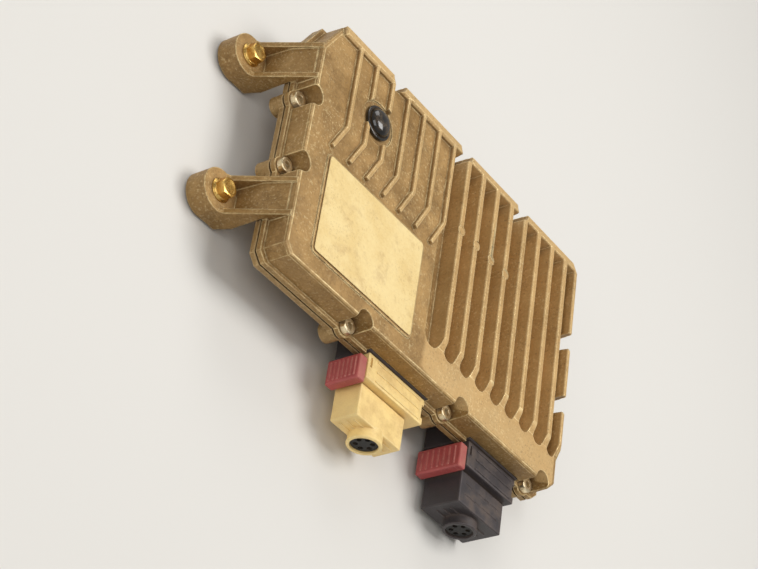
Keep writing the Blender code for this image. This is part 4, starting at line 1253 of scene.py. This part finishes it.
@dataclass
class Fasteners:
    """Sizes that screws and bolts share."""

    head_height: float
    shank_diameter: float
    seed: int

    def grow(self, name: str, prefix: str, tree: Tree, slot: Slot, **sizes: float) -> None:
        """Grow a fastener on the place of each node of its kind, and dress them all.

        Args:
            name: The piece's name.
            prefix: Start of the nodes' names.
            tree: Geometry node tree of the fastener.
            slot: The record's material slot.
            sizes: The tree's further sizes, with _ for a space in the name.
        """
        nodes = named_nodes(prefix)
        boxes = [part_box(node) for node in nodes]
        places = [
            Vector(((low.x + high.x) / 2, (low.y + high.y) / 2, high.z - self.head_height))
            for low, high in boxes]
        low, high = boxes[0]
        piece = grown(
            name, places, tree, Seed=self.seed, Material=palette[slot], Head_Height=self.head_height,
            Shank_Diameter=self.shank_diameter, Shank_Length=high.z - low.z - self.head_height, **sizes)
        dress(piece, slot, Body.UNIT, *nodes)


@dataclass
class CoverScrews(Fasteners):
    """Ten socket-head screws round the cover."""

    head_height: float = 0.0036
    shank_diameter: float = 0.0046
    seed: int = 11
    head_diameter: float = 0.0090

    def build(self) -> None:
        """Put a screw on each place that the frame's screw nodes give."""
        self.grow("cover_screws", "cover_screw_", cap_screws, Slot.SCREWS, Head_Diameter=self.head_diameter)


@dataclass
class FootFixings(Fasteners):
    """Four flange bolts and the steel sleeves that they go through."""

    head_height: float = 0.0065
    shank_diameter: float = 0.0060
    seed: int = 5
    flange_diameter: float = 0.0135
    flange_thickness: float = 0.0016
    across_flats: float = 0.0100
    sleeve_rounding: float = 0.00025

    def build(self) -> None:
        """Put a bolt in each foot, and round and dress the sleeves."""
        self.grow(
            "foot_bolts", "foot_bolt_", flange_bolts, Slot.BOLTS, Flange_Diameter=self.flange_diameter,
            Flange_Thickness=self.flange_thickness, Across_Flats=self.across_flats)
        for node in named_nodes("foot_sleeve_"):
            add_copy(node, self.sleeve_rounding, Slot.SLEEVES, Body.UNIT)


@dataclass
class Connector:
    """One socket with its plug, hood, seal and slide lock."""

    letter: str
    plug: Body
    lock: Body
    slot: Slot
    hood_grooves: int = 0
    plug_rounding: float = 0.0006
    lock_rounding: float = 0.0004
    small_rounding: float = 0.0003
    top_ribs: int = 3
    top_rib_rows: Pair = (0.0020, 0.0135)
    top_rib_offset: float = 0.0020
    top_rib_margin: float = 0.0120
    top_crest_share: float = 0.55
    front_ribs: int = 3
    front_rib_pitch: float = 0.0046
    front_rib_length: float = 0.0085
    front_rib_overlap: float = 0.0012
    front_crest_share: float = 0.6
    rib_width: float = 0.0012
    rib_height: float = 0.0009
    rib_sink: float = 0.0004
    outlet_radius: float = 0.0095
    outlet_length: float = 0.0060
    bead_radius: float = 0.0008
    bead_sunk_share: float = 0.55
    latch_width: float = 0.0090
    latch_height: float = 0.0060
    latch_rise: float = 0.0009
    finger_from: float = 0.0040
    finger_width: float = 0.0080
    finger_depth: float = 0.0022
    groove_margin: float = 0.0050
    groove_width: float = 0.0010
    groove_depth: float = 0.0005

    def build(self) -> None:
        """Round and dress every piece of the connector."""
        add_copy("socket_" + self.letter, self.small_rounding, Slot.BLACK, Body.UNIT)
        for part, carving in (("body", self.carve_body), ("hood", self.carve_hood)):
            node = self.node(part)
            piece = clean_copy(node)
            carving(piece, *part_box(node))
            dress(rounded(piece, self.plug_rounding, 3), self.slot, self.plug, node)
        add_copy(self.node("grommet"), self.small_rounding, Slot.SEAL, self.plug)
        add_copy("slide_lock_" + self.letter, self.lock_rounding, Slot.LOCK, self.lock, join_flats=False)
        self.add_top_ribs()
        self.add_front_ribs()
        self.add_latch()
        self.add_bead()

    def node(self, part: str) -> str:
        """Name of one of the plug's nodes or pieces."""
        return f"plug_{self.letter}_{part}"

    def carve_body(self, piece: Piece, low: Vector, high: Vector) -> None:
        """Cut the upright finger groove into the free end of the body.

        Args:
            piece: The body.
            low: Its lowest corner.
            high: Its highest corner.
        """
        first = low.y + self.finger_from
        carve(piece, Vector((high.x - self.finger_depth, first, low.z - OVERRUN)),
              Vector((high.x + OVERRUN, first + self.finger_width, high.z + OVERRUN)))

    def carve_hood(self, piece: Piece, low: Vector, high: Vector) -> None:
        """Cut long shallow grooves into the top of the hood.

        Args:
            piece: The hood.
            low: Its lowest corner.
            high: Its highest corner.
        """
        front, half = low.y + self.outlet_length, self.groove_width / 2
        first, last = low.x + self.groove_margin, high.x - self.groove_margin
        for number in range(self.hood_grooves):
            middle = front + (high.y - front) * (number + 1) / (self.hood_grooves + 1)
            carve(piece, Vector((first, middle - half, high.z - self.groove_depth)),
                  Vector((last, middle + half, high.z + OVERRUN)))

    def add_detail(self, name: str, tree: Tree, places: Sequence[Vector], turn: Triple, **sizes: object
                   ) -> None:
        """Grow one kind of detail on the plug.

        Args:
            name: The detail's name.
            tree: Its geometry node tree.
            places: Where it sits.
            turn: Its turn, in radians.
            sizes: The tree's sizes, with _ for a space in the name.
        """
        piece = grown(self.node(name), places, tree, Material=palette[self.slot], Turn=Vector(turn), **sizes)
        dress(piece, self.slot, self.plug)

    def add_top_ribs(self) -> None:
        """Lay long stiffening ribs on the top of the plug's body."""
        low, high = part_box(self.node("body"))
        far, near = (low.y + row for row in self.top_rib_rows)
        step = (near - far) / (self.top_ribs - 1)
        middle = (low.x + high.x) / 2 + self.top_rib_offset
        height = high.z + self.rib_height / 2 - self.rib_sink
        places = [Vector((middle, far + number * step, height)) for number in range(self.top_ribs)]
        self.add_detail(
            "top_ribs", rib_row, places, (0.0, 0.0, 0.0), Crest_Share=self.top_crest_share,
            Size=Vector((high.x - low.x - self.top_rib_margin, self.rib_width, self.rib_height)))

    def add_front_ribs(self) -> None:
        """Set short ribs between the round outlet and the ends of the hood."""
        low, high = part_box(self.node("grommet"))
        middle = (low + high) / 2
        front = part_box(self.node("hood"))[0].y + self.outlet_length - self.rib_height / 2 + self.rib_sink
        aside = self.outlet_radius + self.front_rib_length / 2 - self.front_rib_overlap
        rows = [
            (number - (self.front_ribs - 1) / 2) * self.front_rib_pitch for number in range(self.front_ribs)]
        places = [
            Vector((middle.x + side * aside, front, middle.z + row)) for side in (-1, 1) for row in rows]
        self.add_detail(
            "front_ribs", rib_row, places, (math.pi / 2, 0.0, 0.0), Crest_Share=self.front_crest_share,
            Size=Vector((self.front_rib_length, self.rib_width, self.rib_height)))

    def add_latch(self) -> None:
        """Put a snap latch on the hood's free end."""
        low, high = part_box(self.node("hood"))
        place = Vector((high.x, (low.y + self.outlet_length + high.y) / 2, (low.z + high.z) / 2))
        self.add_detail(
            "end_latch", snap_latches, [place], (0.0, math.pi / 2, 0.0), Width=self.latch_width,
            Height=self.latch_height, Rise=self.latch_rise)

    def add_bead(self) -> None:
        """Run a bead round the mouth of the outlet."""
        low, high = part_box(self.node("grommet"))
        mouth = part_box(self.node("hood"))[0].y
        place = Vector(((low.x + high.x) / 2, mouth + self.bead_radius, (low.z + high.z) / 2))
        self.add_detail(
            "outlet_bead", beads, [place], (math.pi / 2, 0.0, 0.0), Bead_Radius=self.bead_radius,
            Ring_Radius=self.outlet_radius - self.bead_radius * self.bead_sunk_share)


@dataclass(frozen=True)
class Lamp:
    """A square soft lamp: its name, place, side in metres and power in watts."""

    name: str
    place: Triple
    side: float
    power: float


@dataclass
class Studio:
    """Camera at the photograph's angle, soft lamps and a pale floor."""

    camera_place: Triple = (-0.711, -0.6348, 0.608)
    camera_right: Triple = (0.476, 0.050, 0.878)
    camera_up: Triple = (-0.503, 0.834, 0.225)
    aim: Triple = (-0.0156, 0.0017, 0.0145)
    lens: float = 95.0
    sensor_width: float = 36.0
    floor_size: float = 12.0
    floor_colour: Colour = (226, 223, 217)
    world_colour: tuple[float, ...] = (1.0, 0.98, 0.95, 1.0)
    world_strength: float = 0.32
    lamps: tuple[Lamp, ...] = (
        Lamp("key", (0.35, 0.10, 1.45), 0.8, 14.0), Lamp("fill", (-1.05, -0.55, 0.95), 1.0, 6.5),
        Lamp("back", (-0.3, 1.25, 0.9), 0.8, 4.5))

    def build(self) -> None:
        """Make the camera, the lamps, the world and the floor."""
        self.add_camera()
        for lamp in self.lamps:
            self.add_lamp(lamp)
        self.add_world()
        self.add_floor()

    def add_camera(self) -> None:
        """Turn the photograph's camera from its own aim to the unit, with no other roll."""
        data = bpy.data.cameras.new("view")
        data.sensor_width = self.sensor_width
        data.lens = self.lens
        camera = add_object("view", data)
        place, right = Vector(self.camera_place), Vector(self.camera_right)
        back = right.cross(Vector(self.camera_up)).normalized()
        turn = Matrix((right.normalized(), back.cross(right).normalized(), back)).transposed()
        ahead = (Vector(self.aim) - place).normalized()
        swing = (-back).rotation_difference(ahead).to_matrix()
        camera.matrix_world = Matrix.Translation(place) @ (swing @ turn).to_4x4()
        bpy.context.scene.camera = camera

    def add_lamp(self, lamp: Lamp) -> None:
        """Add a lamp that faces the unit.

        Args:
            lamp: Its place and light.
        """
        data = bpy.data.lights.new(lamp.name, "AREA")
        data.shape = "SQUARE"
        data.size = lamp.side
        data.energy = lamp.power
        holder = add_object(lamp.name, data)
        holder.location = lamp.place
        holder.rotation_euler = (Vector(self.aim) - Vector(lamp.place)).to_track_quat("-Z", "Y").to_euler()

    def add_world(self) -> None:
        """Give the world an even, nearly white light."""
        world = bpy.data.worlds.new("studio")
        world.use_nodes = True
        shade = world.node_tree.nodes["Background"]
        shade.inputs["Color"].default_value = self.world_colour
        shade.inputs["Strength"].default_value = self.world_strength
        bpy.context.scene.world = world

    def add_floor(self) -> None:
        """Lay the pale floor under the feet."""
        shape = bmesh.new()
        bmesh.ops.create_grid(shape, x_segments=1, y_segments=1, size=self.floor_size / 2)
        floor = from_bmesh(shape, "floor")
        floor.data.materials.append(FloorFinish("studio_floor", body=self.floor_colour).build())


def main() -> None:
    """Build every sub-assembly and the studio."""
    logging.basicConfig(level=logging.INFO, format="%(name)s: %(message)s")
    bpy.context.scene.view_settings.view_transform = "Standard"
    for assembly in (
            Castings(), Plate(), Vent(), CoverScrews(), FootFixings(),
            Connector("a", Body.PLUG_A, Body.LOCK_A, Slot.CREAM),
            Connector("b", Body.PLUG_B, Body.LOCK_B, Slot.BLACK, hood_grooves=2), Studio()):
        assembly.build()


if __name__ == "__main__":
    main()
